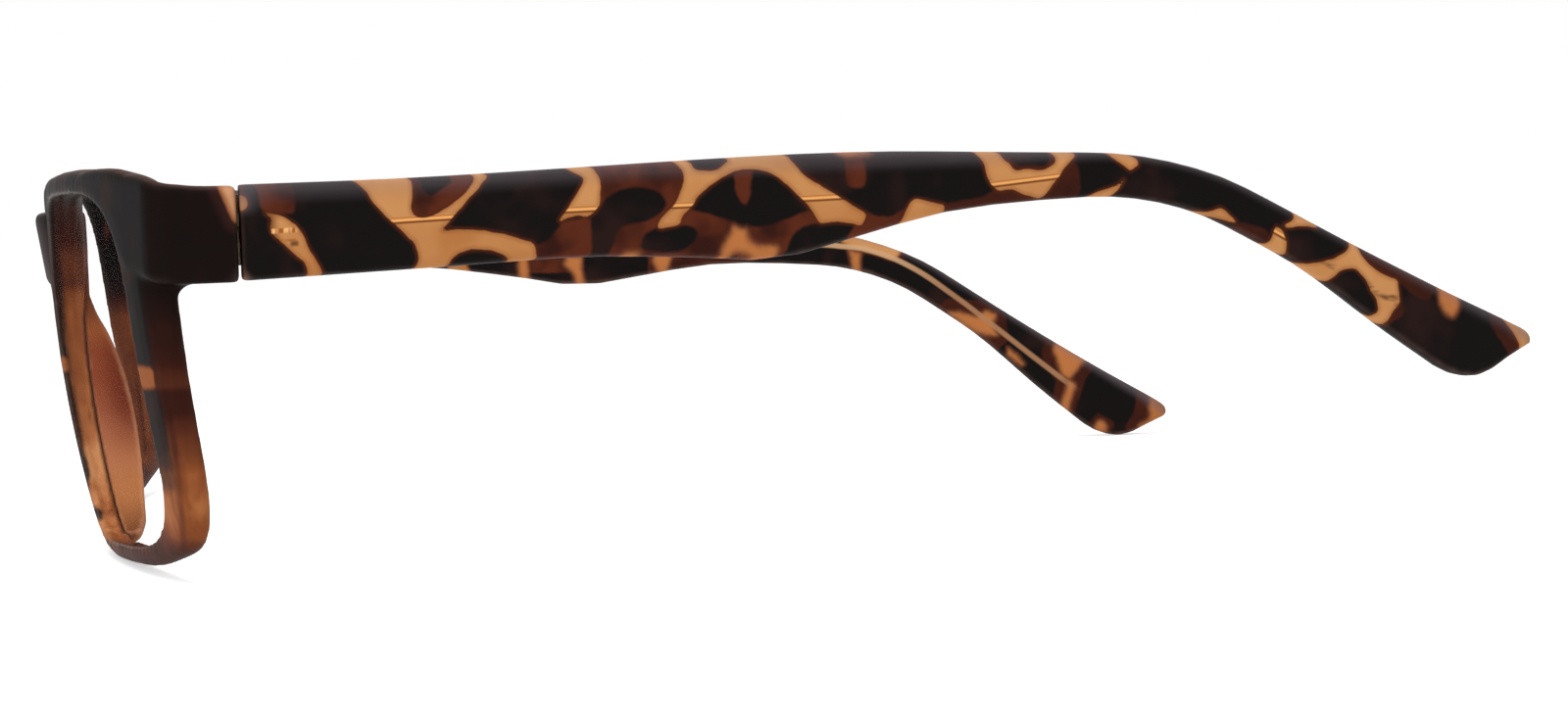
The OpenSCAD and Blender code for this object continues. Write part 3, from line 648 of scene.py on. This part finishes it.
# %% [markdown]
# ## The core wire's line
# A stiffening wire runs down the middle of each temple. Through the amber plastic it
# shows as a thin golden line on the outer face and as a broader pale one on the inner
# face. It waves a little above and below the middle line, as a wire shot into warm
# plastic does. The chips' edges run in at a slant, so they are moved along with depth.

# %% Store the temple patterns
wire_line = ((0, -0.3), (6, -0.2), (17, -0.1), (30, -0.1), (36, -0.2), (46, -0.45), (60, -0.6),
             (66, -0.65), (79, -0.4), (86.5, 0.05), (100, -0.3), (119, -0.85), (131, -1.3))
inner_wire_line = ((0, 0), (60, 0.4), (93, 0.55), (96, 0.8), (101, 0.7), (107, 0.4), (113, 0.05),
                   (119, -0.5), (125, -1.1), (131, -1.65), (134, -1.85))
slant = 0.5
inner_face_depth = 3.5

for side, temple in temples.items():
    along, above, depth = temple_coordinates(temple, side + "_fold")
    if side == "left":
        drawn_along = along + slant * depth
        drawings = left_amber, left_orange, left_brown, left_dark
    else:
        drawn_along = along + slant * (depth - inner_face_depth)
        drawings = (moved(left_amber) + right_amber, right_orange,
                    moved(left_brown) + right_brown, moved(left_dark))
    amber, orange, brown, dark = (inside_any(drawn_along, above, shapes) for shapes in drawings)
    store(temple, along=along, above=above, depth=depth, amber_window=amber, orange_window=orange,
          brown_chip=np.minimum(brown, -dark), wire_offset=above - read_off(wire_line, along),
          inner_wire_offset=above - read_off(inner_wire_line, along))
    print(side, "temple: along", along.min().round(1), "to", along.max().round(1),
          "above", above.min().round(1), "to", above.max().round(1))

# %% [markdown]
# ## Amber with a wire in it
# Seen through the clear windows, the amber is deeper low down and near the joint, and
# brown at a window's edge, where a chip thins out over it. The outer face shows the core
# wire as a golden line, with a painted highlight along it and painted shade under it,
# lost in smoky streaks at its end.

# %% Amber ground
# Tones across the wire: its brass seen through the amber, with a painted highlight and painted
# shade below.
wire_tones_lit_and_shaded = ((0.0, 178, 114, 62), (0.1, 88, 44, 20), (0.2, 110, 58, 28), (0.3, 206, 132, 70),
              (0.5, 248, 184, 112), (0.72, 226, 154, 86), (0.86, 170, 100, 50), (1.0, 202, 144, 90))


def amber_ground(coat, amber, along, above, outer_only):
    deepening = coat.add(coat.fade(coat.noise(160), 0.35, 0.7, 0, 0.45),
                         coat.product(coat.fade(above, 1.0, -2.5), coat.fade(along, 95, 60), 0.55))
    ground = coat.mix(deepening, amber_tan, amber_deep)
    ground = coat.mix(coat.fade(amber, 0.05, 0.6, 0.5, 0), ground, amber_rim)
    ground = coat.mix(coat.product(coat.band(along, 1.6, 3.6, 0.6), 0.6), ground, chestnut_rim)
    offset = coat.stored("wire_offset")
    wire = coat.product(coat.band(offset, -0.4, 0.4, 0.06), coat.band(along, 9, 118, 0.6),
                        outer_only, 0.9)
    ground = coat.mix(wire, ground, coat.ramp(coat.fade(offset, -0.45, 0.45), wire_tones_lit_and_shaded))
    smoke = coat.product(coat.fade(coat.noise(900, stretch=(1, 0.25, 1)), 0.45, 0.62),
                         coat.band(offset, -0.5, 0.5, 0.3), coat.band(along, 117, 130, 1.5), 0.75)
    return coat.mix(smoke, ground, chestnut)


# %% [markdown]
# ## Metal seen in the temples
# Near the left joint, the hinge's tang shows through the amber as two short golden bars
# with painted glints on them, and a small pit under them. On the right temple's inner face
# the wire is a pale line.

# %% Tang and inner wire
def add_tang(coat, along, above, outer_only):
    # Painted glints on the tang's golden bars.
    glints = coat.fade(coat.noise(1500, 1, stretch=(1, 1, 0.2)), 0.42, 0.6)
    gold = coat.mix(glints, (160, 90, 42), (240, 184, 118))
    for length, height, strength, colour in (((3.1, 5.7, 0.15), (-0.6, -0.12, 0.1), 1.0, gold),
                                             ((3.9, 5.5, 0.15), (-1.5, -1.25, 0.1), 0.7, gold),
                                             ((4.9, 5.7, 0.2), (-2.0, -1.5, 0.2), 0.7, near_black)):
        coat.lay(colour, coat.band(along, *length), coat.band(above, *height), outer_only, strength)


def add_inner_wire(coat, along):
    pale = coat.mix(coat.fade(along, 98, 112), (206, 162, 122), (168, 122, 88))
    coat.lay(pale, coat.band(coat.stored("inner_wire_offset"), -0.36, 0.36, 0.16),
             coat.fade(coat.stored("depth"), 1.8, 2.6), coat.band(along, 60, 132, 2), 0.85)


# %% [markdown]
# ## Temple finish
# The ground is nearly black, with red-brown chips in it whose edges are a little soft,
# because they lie under the surface. The amber windows are crisp, with a brown margin on
# the dark side. Noise moves every edge a little, because pressed chips are never clean
# cut. The plastic is rubbed matte, so the roughness is high, the mirror part of the light
# is weak, and a very fine grain breaks what is left of it. A few pale specks of dust sit
# on it. The front is rubbed in the same way, so `rub_matte` ends both finishes.

# %% Temple finish
edge_noise = 900
dust = (205, 195, 185)


def rub_matte(coat, speck_spacing, speck_radius, mirror):
    coat.lay(dust, coat.specks(speck_spacing, speck_radius))
    coat.bump(coat.noise(6000), 0.1, 0.02 * mm)
    return coat.done(Roughness=0.5, IOR=1.35, Specular_IOR_Level=mirror)


def temple_finish(side):
    coat = Finish("tortoise_temple_" + side)
    along, above = coat.stored("along"), coat.stored("above")
    outer_only = coat.fade(coat.stored("depth"), 1.2, 2.0, 1, 0)
    ragged = coat.sway(edge_noise, 0.22)
    amber = coat.add(coat.stored("amber_window"), ragged)
    orange = coat.add(coat.stored("orange_window"), coat.product(ragged, 2.0))
    brown = coat.add(coat.stored("brown_chip"), coat.product(ragged, 1.5))

    smoky = coat.fade(coat.noise(140), 0.5, 0.72, 0, 0.55)
    coat.colour = coat.mix(smoky, near_black, (48, 28, 24))
    paler = coat.product(coat.fade(coat.noise(230), 0.3, 0.6), coat.fade(along, 64, 76, 1.0, 0.25))
    coat.lay(coat.mix(paler, chestnut, chestnut_pale), coat.fade(brown, -0.15, 0.3))
    coat.lay(chestnut_rim, coat.fade(amber, -0.5, -0.05, 0, 0.6))
    crisp = (-0.06, 0.1) if side == "left" else (-0.25, 0.3)
    coat.lay(amber_ground(coat, amber, along, above, outer_only), coat.fade(amber, *crisp))
    deep_orange = coat.mix(coat.fade(orange, -0.2, 0.9), (112, 64, 42), orange_deep)
    coat.lay(deep_orange, coat.fade(orange, -0.45, 0.5))

    if side == "left":
        add_tang(coat, along, above, outer_only)
    else:
        add_inner_wire(coat, along)
    # Painted sheen along the top of the temple.
    coat.lay((104, 96, 100), coat.stored("near_edge"), coat.fade(above, 1.0, 2.6), 0.5)
    # Painted highlight on the rounded edges.
    coat.lay((132, 86, 66), coat.stored("edge"), 0.36)
    # Painted reflection of the white table on the lower edge.
    coat.lay((180, 142, 124), coat.stored("lower_edge"), 0.5)
    return rub_matte(coat, 7 * mm, 0.11 * mm, 0.06)


def paint(piece, material):
    piece.data.materials.clear()
    piece.data.materials.append(material)


for side, temple in temples.items():
    paint(temple, temple_finish(side))

# %% [markdown]
# ## Where a point lies on the front
# The front is cut from a thicker sheet, and its sides show the layers: a nearly black
# one, about a millimetre thick, right behind the face, and clearer smoky ones behind it.
# So each point gets its `layer`, the distance behind the front's face. That face is a
# shallow bowl over each lens, leaned back and wrapped round, the same rule as the solid's.

# %% Layers of the front
stand_tilt = math.radians(-0.325)
stand_back, stand_up = -61.4866, -0.7579
lens_middle = (34.3, 22.3)
face_ahead = 16.8
wrap_angle = math.radians(8)
lean_angle = 7.4
side_lean = 1.1
half_opening = 25.8
curve_across, curve_down = 123.0, 120.0


def front_layer(points):
    back, up = points[:, 1] - stand_back, points[:, 2] - stand_up
    y = back * math.cos(stand_tilt) + up * math.sin(stand_tilt)
    z = up * math.cos(stand_tilt) - back * math.sin(stand_tilt)
    across = np.abs(points[:, 0]) - lens_middle[0]
    drop = lens_middle[1] - z
    lean = np.tan(np.radians(lean_angle + side_lean * across / half_opening))
    face = (-face_ahead + math.tan(wrap_angle) * across + lean * drop
            + across ** 2 / (2 * curve_across) + drop ** 2 / (2 * curve_down))
    return y - face


# %% [markdown]
# ## How clear the front's plastic is
# `clearness` runs from 0, nearly black, to 1, pale amber. It follows the height over the
# table: the brow and end pieces are black, the lower rims clear to a smoky orange, and the
# nose sides are the clearest. Between the sides it is blended across the rim. The right
# rim's outer wall, seen through both openings, has heights of its own. A thin dark streak
# and one clearer spot are added on the outer sides. Each table gives height and clearness.

# %% Clearness of the front
side_levels = ((0, 0.36), (2, 0.3), (3.2, 0.38), (5, 0.68), (8, 0.8), (12, 0.76), (14, 0.58),
               (17, 0.4), (18.5, 0.28), (20.5, 0.26), (21.2, 0.4), (22.8, 0.34), (23.8, 0.26),
               (27, 0.22), (28.5, 0.14), (31, 0.05), (50, 0.05))
nose_levels = ((0, 0.5), (1.2, 0.68), (2.6, 0.84), (5, 0.95), (9, 0.98), (13, 0.92), (17, 0.8),
               (22, 0.74), (27, 0.74), (29.4, 0.7), (30.6, 0.5), (34, 0.46), (35.6, 0.3),
               (39, 0.24), (42, 0.16), (50, 0.12))
middle_levels = ((0, 0.3), (3, 0.34), (5, 0.36), (30, 0.2), (38, 0.08), (50, 0.1))
far_levels = ((0, 0.3), (5, 0.5), (14, 0.55), (20, 0.55), (24, 0.5), (26, 0.3), (28, 0.08),
              (31, 0.02), (50, 0.02))
side_reach = (52, 60)
nose_reach = ((17, 5), (27, 9))
nose_widens = (4, 9)
far_wall_starts, far_wall_ends = (50, 53), (60.5, 62)
streak_line = ((3, -67.9), (8, -68.1), (14, -68.5), (19, -69))
streak_strength, streak_starts, streak_ends = 0.16, (2, 6), (13, 19)
spot_strength, spot_back, spot_height, spot_width, spot_length = 0.4, -71.7, 36, 0.3, 1.8


def share(values, start, end):
    t = np.clip((values - start) / (end - start), 0, 1)
    return t * t * (3 - 2 * t)


points = points_of(front.data)
from_middle, y, z = np.abs(points[:, 0]), points[:, 1], points[:, 2]
on_side = share(from_middle, *side_reach)
wider = 1 - share(z, *nose_widens)
on_nose = 1 - share(from_middle, *(reach + more * wider for reach, more in nose_reach))
in_between = 1 - on_side - on_nose
clearness = (on_side * read_off(side_levels, z) + on_nose * read_off(nose_levels, z)
             + in_between * read_off(middle_levels, z))
far_wall = share(-points[:, 0], *far_wall_starts) * (1 - share(from_middle, *far_wall_ends))
clearness = clearness * (1 - far_wall) + far_wall * read_off(far_levels, z)
from_streak = np.abs(y - read_off(streak_line, z))
clearness -= (streak_strength * on_side * (1 - share(from_streak, 0.05, 0.5))
              * share(z, *streak_starts) * (1 - share(z, *streak_ends)))
clearness += spot_strength * on_side * np.exp(-((y - spot_back) / spot_width) ** 2
                                              - ((z - spot_height) / spot_length) ** 2)
store(front, clearness=clearness)
print("clearness from", clearness.min().round(2), "to", clearness.max().round(2))

# %% [markdown]
# ## Crisp shapes on the front
# A few windows, patches and dark spots have crisp edges. They are drawn as outlines, as
# seen from the side, in millimetres back and up.

# %% Drawn shapes of the front
amber_windows = [[(-63.4, 42.6), (-61, 42.6), (-61, 37.5), (-61.6, 37.6), (-62.2, 39),
                  (-62.8, 40.6)]]
orange_windows = [[(-73, 23.3), (-71.4, 23.2), (-69.8, 23.1), (-69.8, 20.9), (-71.2, 20.8),
                   (-72.2, 21.2), (-73, 21.6)]]
far_streaks = [[(-73.6, 28.4), (-72.9, 28.4), (-72.2, 24), (-71.6, 18), (-72.6, 18), (-73.4, 23)]]
nose_patches = [[(-80.5, 22.4), (-78.4, 22.2), (-78.2, 20.6), (-80.5, 20)]]
dark_spots = [
    [(-79, 11.8), (-77.4, 11.6), (-76.6, 9.4), (-76.5, 7.9), (-77.3, 7.8), (-79, 9)],
    [(-76.6, 5.2), (-75.2, 4.6), (-75.4, 3.6), (-76.6, 3.6)],
    [(-76, 1.8), (-74.6, 1.7), (-73, 0.4), (-72.6, -0.5), (-76, -0.5)],
]

# %% [markdown]
# ## Face and edges of the front
# `black` says where the dark layer covers the clearer ones: on the face, and on the nose
# sides as deep as `nose_black` says for each height. `chip_face` is the part of the face
# that shows crisp chips, `brow` the upward top that gets a painted sheen, and the rim line
# a painted highlight round each opening. A drawn shape shows only on the side or wall that it
# belongs to.

# %% Face and edges of the front
side_black = ((0, 0), (9, 0), (10.5, 0.5), (17, 1), (20.4, 1), (21, 0), (23, 0), (23.6, 1), (50, 1))
nose_black = ((0, -1), (4, -1), (7, 0.2), (9, 0.7), (12, 0.8), (16, 1.0), (20, 0.9), (22, 1.0),
              (30, 1.2), (50, 0.6))
black_starts, black_depth = (5, 12), 1.2
chips_end, chips_top = (52, 57), (35, 38)
brow_starts, far_line_ends = (30, 36), (46, 50)
outside_all = -9.0

layer = front_layer(points)
facing = np.stack([averaged(front.data, values, 4) for values in normals_of(front.data).T], 1)
forward, upward = -facing[:, 1], facing[:, 2]
on_face = share(forward, 0.35 + 0.35 * on_side, 0.65 + 0.3 * on_side)
side_cover = on_side * (on_face * read_off(side_black, z) - 0.5)
nose_cover = on_nose * (read_off(nose_black, z) - layer)
between_cover = in_between * (on_face * share(z, *black_starts) - 0.5)
chip_face = on_face * (1 - share(from_middle, *chips_end)) * (1 - share(upward, 0.2, 0.4))
to_opening = np.stack([lens_middle[0] - from_middle, lens_middle[1] - z], 1)
to_opening /= np.linalg.norm(to_opening, axis=1)[:, None]
inward = np.sign(points[:, 0]) * facing[:, 0] * to_opening[:, 0] + upward * to_opening[:, 1]
# Painted highlight along the front edge of each opening.
rim_line = share(inward, 0.4, 0.6) * share(forward, 0.4, 0.6) * (layer < black_depth)

near_half = points[:, 0] > 0
orange = np.where((on_side > 0.5) & near_half,
                  inside_any(y, z, orange_windows) - 1.5 * (1 - on_face), outside_all)
orange = np.where(far_wall > 0.5, inside_any(y, z, far_streaks), orange)
orange = np.where((on_nose > 0.5) & near_half, inside_any(y, z, nose_patches), orange)
# The brow value marks a painted sheen, and the rim value a painted highlight.
store(front, black=side_cover + nose_cover + between_cover,
      chip_face=chip_face * (1 - share(z, *chips_top)),
      brow=share(upward, 0.5, 0.9) * share(z, *brow_starts),
      rim_line=rim_line * (1 - share(-points[:, 0], *far_line_ends)) * (1 - 0.6 * on_nose),
      amber_window=np.where(on_side > 0.5, inside_any(y, z, amber_windows), outside_all),
      orange_window=orange,
      dark_spot=np.where(on_nose > 0.5, inside_any(y, z, dark_spots), outside_all))
print("share of the front that is face:", float(on_face.mean().round(2)))

# %% [markdown]
# ## Painted shade round the nose pads
# Where a nose pad is bonded in, the crease with the rim gets a fine line of painted shade.
# It is found by asking, for each point of the front, how far the nearest point of a pad is, and the
# other way round.

# %% Painted crease shade
def nearest_distance(points, others):
    tree = KDTree(len(others))
    for index, other in enumerate(others):
        tree.insert(Vector(other), index)
    tree.balance()
    return np.array([tree.find(Vector(point))[2] for point in points])


crease_shade_reach = 3.0
pads_end = 26
pad_points = np.concatenate([points_of(pad.data) for pad in pads])
close = from_middle < pads_end
distance = np.full(len(points), crease_shade_reach)
distance[close] = nearest_distance(points[close], pad_points)
store(front, from_pad=np.minimum(distance, crease_shade_reach))
for pad in pads:
    distance = nearest_distance(points_of(pad.data), points[close])
    store(pad, from_rim=np.minimum(distance, crease_shade_reach))

# %% [markdown]
# ## Front finish
# The ramp turns clearness into the tones of tortoiseshell, from near-black over
# red-brown and orange to amber. Upright streaks and slow clouds move the clearness a
# little, more where it is clear than where it is black. The black layer is laid over
# it. On the face itself the dark chips have crisp edges, like those of the temples, so a
# noise cut off at two levels is used there, which hardly changes with depth. Then come
# the drawn shapes, painted shade in the crease round the nose pads, a painted sheen on the
# brow, and painted highlights on the rounded edges and round each opening.

# %% Front finish
front_tones = ((0.0, 15, 12, 12), (0.16, 34, 18, 15), (0.3, 56, 25, 18), (0.45, 84, 42, 27),
               (0.6, 112, 60, 34), (0.75, 140, 78, 42), (0.88, 174, 108, 64), (1.0, 204, 142, 94))


def front_finish():
    coat = Finish("tortoise_front_matte")
    clearness = coat.stored("clearness")
    drift = coat.add(coat.sway(170, 0.5), coat.sway(700, 0.3, (1, 1, 0.1)))
    drift = coat.product(drift, coat.add(clearness, 0.1))
    coat.colour = coat.ramp(coat.add(clearness, drift), front_tones)

    ragged = coat.sway(edge_noise, 0.5)
    black = coat.add(coat.stored("black"), coat.product(ragged, 0.6))
    face_tone = coat.mix(coat.fade(coat.noise(120), 0.52, 0.62, 0, 0.7), near_black, (38, 21, 18))
    coat.lay(face_tone, coat.fade(black, -0.45, 0.35, 0, 0.94))

    height = coat.parts(coat.place)[2]
    chips = coat.noise(95, 1, 0.4, (1, 0.15, 1))
    on_face = coat.product(coat.stored("chip_face"), coat.fade(height, 9 * mm, 12 * mm))
    coat.lay(chestnut, coat.fade(chips, 0.35, 0.36, 1, 0), on_face)
    coat.lay(amber_rim, coat.fade(chips, 0.295, 0.305, 1, 0), on_face)

    orange = coat.add(coat.stored("orange_window"), ragged)
    coat.lay((154, 88, 46), coat.fade(orange, -0.3, 0.4, 0, 0.9))
    window = coat.add(coat.stored("amber_window"), coat.product(ragged, 0.4))
    coat.lay((62, 34, 30), coat.fade(window, -1.6, -0.3, 0, 0.5))
    window_tone = coat.mix(coat.fade(window, 0, 0.7), (150, 92, 58), (196, 142, 104))
    coat.lay(window_tone, coat.fade(window, -0.25, 0.15))
    spot = coat.add(coat.stored("dark_spot"), ragged)
    coat.lay((34, 22, 20), coat.fade(spot, -0.3, 0.3))
    # Painted shade in the crease where a nose pad meets the front.
    coat.lay((80, 36, 16), coat.fade(coat.stored("from_pad"), 0.25, 0.6, 0.75, 0))
    # Painted sheen on the brow's upward top.
    coat.lay((112, 80, 72), coat.stored("brow"), 0.3)
    # Painted highlight on the rounded edges.
    coat.lay((120, 100, 90), coat.stored("edge"), 0.16)
    # Painted highlight round each opening.
    coat.lay((150, 142, 136), coat.stored("rim_line"), 0.4)
    return rub_matte(coat, 9 * mm, 0.12 * mm, 0.045)


paint(front, front_finish())

# %% [markdown]
# ## Nose pads
# The pads are built up from a clear reddish plastic and polished into the rims. With
# no chips in it, the plastic looks like warm brown glass: darker and redder where it is
# thick, towards the top and the back, and more orange below. A highlight is painted
# along its rounded edge, and shade along the crease where it meets the rim.

# %% Nose pad finish
pad_tones = ((0.0, 146, 88, 50), (0.1, 172, 108, 62), (0.22, 178, 110, 72), (0.34, 172, 100, 66),
             (0.46, 158, 84, 52), (0.6, 142, 68, 38), (0.72, 136, 64, 34), (0.84, 146, 78, 38),
             (0.95, 90, 46, 28))


def pad_finish():
    coat = Finish("nose_pad_amber")
    across, back, height = coat.parts(coat.place)
    level_up = coat.fade(coat.add(height, coat.sway(200, 4 * mm)), 0, 34 * mm)
    coat.colour = coat.ramp(level_up, pad_tones)
    coat.lay((96, 34, 18), coat.fade(back, -76.5 * mm, -71.5 * mm),
             coat.band(height, 13 * mm, 26 * mm, 5 * mm), 0.9)
    aside = coat.math("ABSOLUTE", across)
    coat.lay((92, 48, 28), coat.fade(aside, 15 * mm, 24 * mm, 0, 0.7))
    # Painted highlight along the pad's rounded edge.
    coat.lay((206, 146, 108), coat.stored("edge"), coat.fade(height, 30 * mm, 18 * mm), 0.5)
    # Painted shade in the crease where the pad meets the rim.
    coat.lay((88, 42, 20), coat.fade(coat.stored("from_rim"), 0.2, 0.5, 0.6, 0))
    coat.bump(coat.noise(2500), 0.08, 0.02 * mm)
    return coat.done(Roughness=0.45, IOR=1.4, Specular_IOR_Level=0.05)


pad_material = pad_finish()
for pad in pads:
    paint(pad, pad_material)

# %% [markdown]
# ## Lenses
# A lens's solid is already right, but its curve is made of flat triangles that a polished
# surface would show. A welded copy is smoothed by shading, with its bevel edge kept
# crisp. The lens is clear and coated, so it is nearly see-through. What little is left is
# dark, because a pale film would hang as a milky veil over the rims behind it.

# %% Lenses
crisp_angle = math.radians(30)


def lens_finish():
    coat = Finish("clear_lens_coated")
    facing = coat.node("LayerWeight", Blend=0.5).outputs["Facing"]
    coat.colour = coat.mix(coat.noise(30, 1), (22, 28, 26), (28, 24, 30))
    return coat.done(Alpha=coat.fade(facing, 0.3, 0.9, 0.025, 0.012), Roughness=0.08,
                     Specular_IOR_Level=0.1)


lens_material = lens_finish()
for side in ("left", "right"):
    shape = welded("lens_" + side)
    for face in shape.faces:
        face.smooth = True
    for edge in shape.edges:
        edge.smooth = edge.calc_face_angle(0) < crisp_angle
    lens = made_object("clear_lens_" + side, shape)
    paint(lens, lens_material)
    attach(lens, "front")
    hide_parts("lens_" + side)

# %% [markdown]
# ## Hinges, screws and core wires
# The hinges are stamped from nickel silver with a faint golden tone, the screws are
# steel and the core wires are brass. Each keeps its solid. Brushed metal is drawn out
# in one direction, so the noise in its roughness is stretched.

# %% Metal finishes
def metal_finish(name, pale, deep, roughness):
    coat = Finish(name)
    grain = coat.noise(5000, 3, stretch=(1, 0.1, 1))
    coat.colour = coat.mix(coat.fade(grain, 0, 1, 0.3, 0.7), pale, deep)
    coat.bump(grain, 0.08, 0.01 * mm)
    return coat.done(Metallic=1.0,
                     Roughness=coat.fade(grain, 0.2, 0.8, roughness - 0.08, roughness + 0.1))


nickel_silver = metal_finish("hinge_nickel_silver", (168, 154, 130), (128, 112, 88), 0.36)
steel = metal_finish("screw_steel", (206, 206, 210), (160, 160, 166), 0.25)
brass = metal_finish("core_brass", (226, 176, 100), (180, 128, 62), 0.35)
metals = {"front_hinge": nickel_silver, "temple_hinge": nickel_silver, "hinge_screw": steel,
          "core_wire": brass}
for kind, metal in metals.items():
    for side in ("left", "right"):
        paint(frame["nodes"][kind + "_" + side], metal)

# %% [markdown]
# ## Table
# The glasses stand on a white table that runs on into a white background. The table is
# an ordinary pale surface for every ray but the camera's own and those that come by way
# of a mirror or glass, which see it brightened to white with its soft shadow kept.

# %% Table
table_glow = 0.5


def seen_directly(tree):
    """One for rays of the camera, mirrors and glass, and nothing for the others."""
    rays = tree.nodes.new("ShaderNodeLightPath")
    seen = rays.outputs["Is Camera Ray"]
    for kind in ("Is Glossy Ray", "Is Transmission Ray"):
        either = tree.nodes.new("ShaderNodeMath")
        either.operation = "MAXIMUM"
        tree.links.new(seen, either.inputs[0])
        tree.links.new(rays.outputs[kind], either.inputs[1])
        seen = either.outputs[0]
    return seen


def table_finish():
    coat = Finish("table_white")
    coat.colour = coat.mix(coat.noise(20, 1), (238, 238, 238), (234, 234, 234))
    return coat.done(Roughness=0.9, Specular_IOR_Level=0.0, Emission_Color=(255, 255, 255),
                     Emission_Strength=coat.product(seen_directly(coat.tree), table_glow))


table_shape = bmesh.new()
bmesh.ops.create_grid(table_shape, x_segments=1, y_segments=1, size=3.0)
table = made_object("table", table_shape)
paint(table, table_finish())

# %% [markdown]
# ## Sky and lamps
# Two large soft lamps and an even sky light the glasses so that a colour looks about as
# it is written. The sky is white where it is seen, and dimmer where it only gives light.

# %% Sky and lamps
sky_light, sky_seen = 0.62, 1.0
world = bpy.data.worlds.new("studio")
bpy.context.scene.world = world
world.use_nodes = True
sky = world.node_tree
background = sky.nodes["Background"]
background.inputs["Color"].default_value = (1, 1, 1, 1)
strength = sky.nodes.new("ShaderNodeMapRange")
strength.inputs["To Min"].default_value = sky_light
strength.inputs["To Max"].default_value = sky_seen
sky.links.new(seen_directly(sky), strength.inputs["Value"])
sky.links.new(strength.outputs[0], background.inputs["Strength"])


def lamp(name, place, target, size, power):
    data = bpy.data.lights.new(name, "AREA")
    data.shape = "DISK"
    data.size = size
    data.energy = power
    turn = (Vector(target) - Vector(place)).to_track_quat("-Z", "Y").to_matrix().to_4x4()
    add_object(name, data).matrix_world = Matrix.Translation(place) @ turn


lamp("soft_top", (0.15, -0.1, 0.9), (0, 0, 0.02), 0.7, 5.0)
lamp("soft_side", (0.9, -0.7, 0.5), (0, 0, 0.02), 0.6, 3.0)

# %% [markdown]
# ## Finish

# %% Finish
bpy.context.view_layer.update()
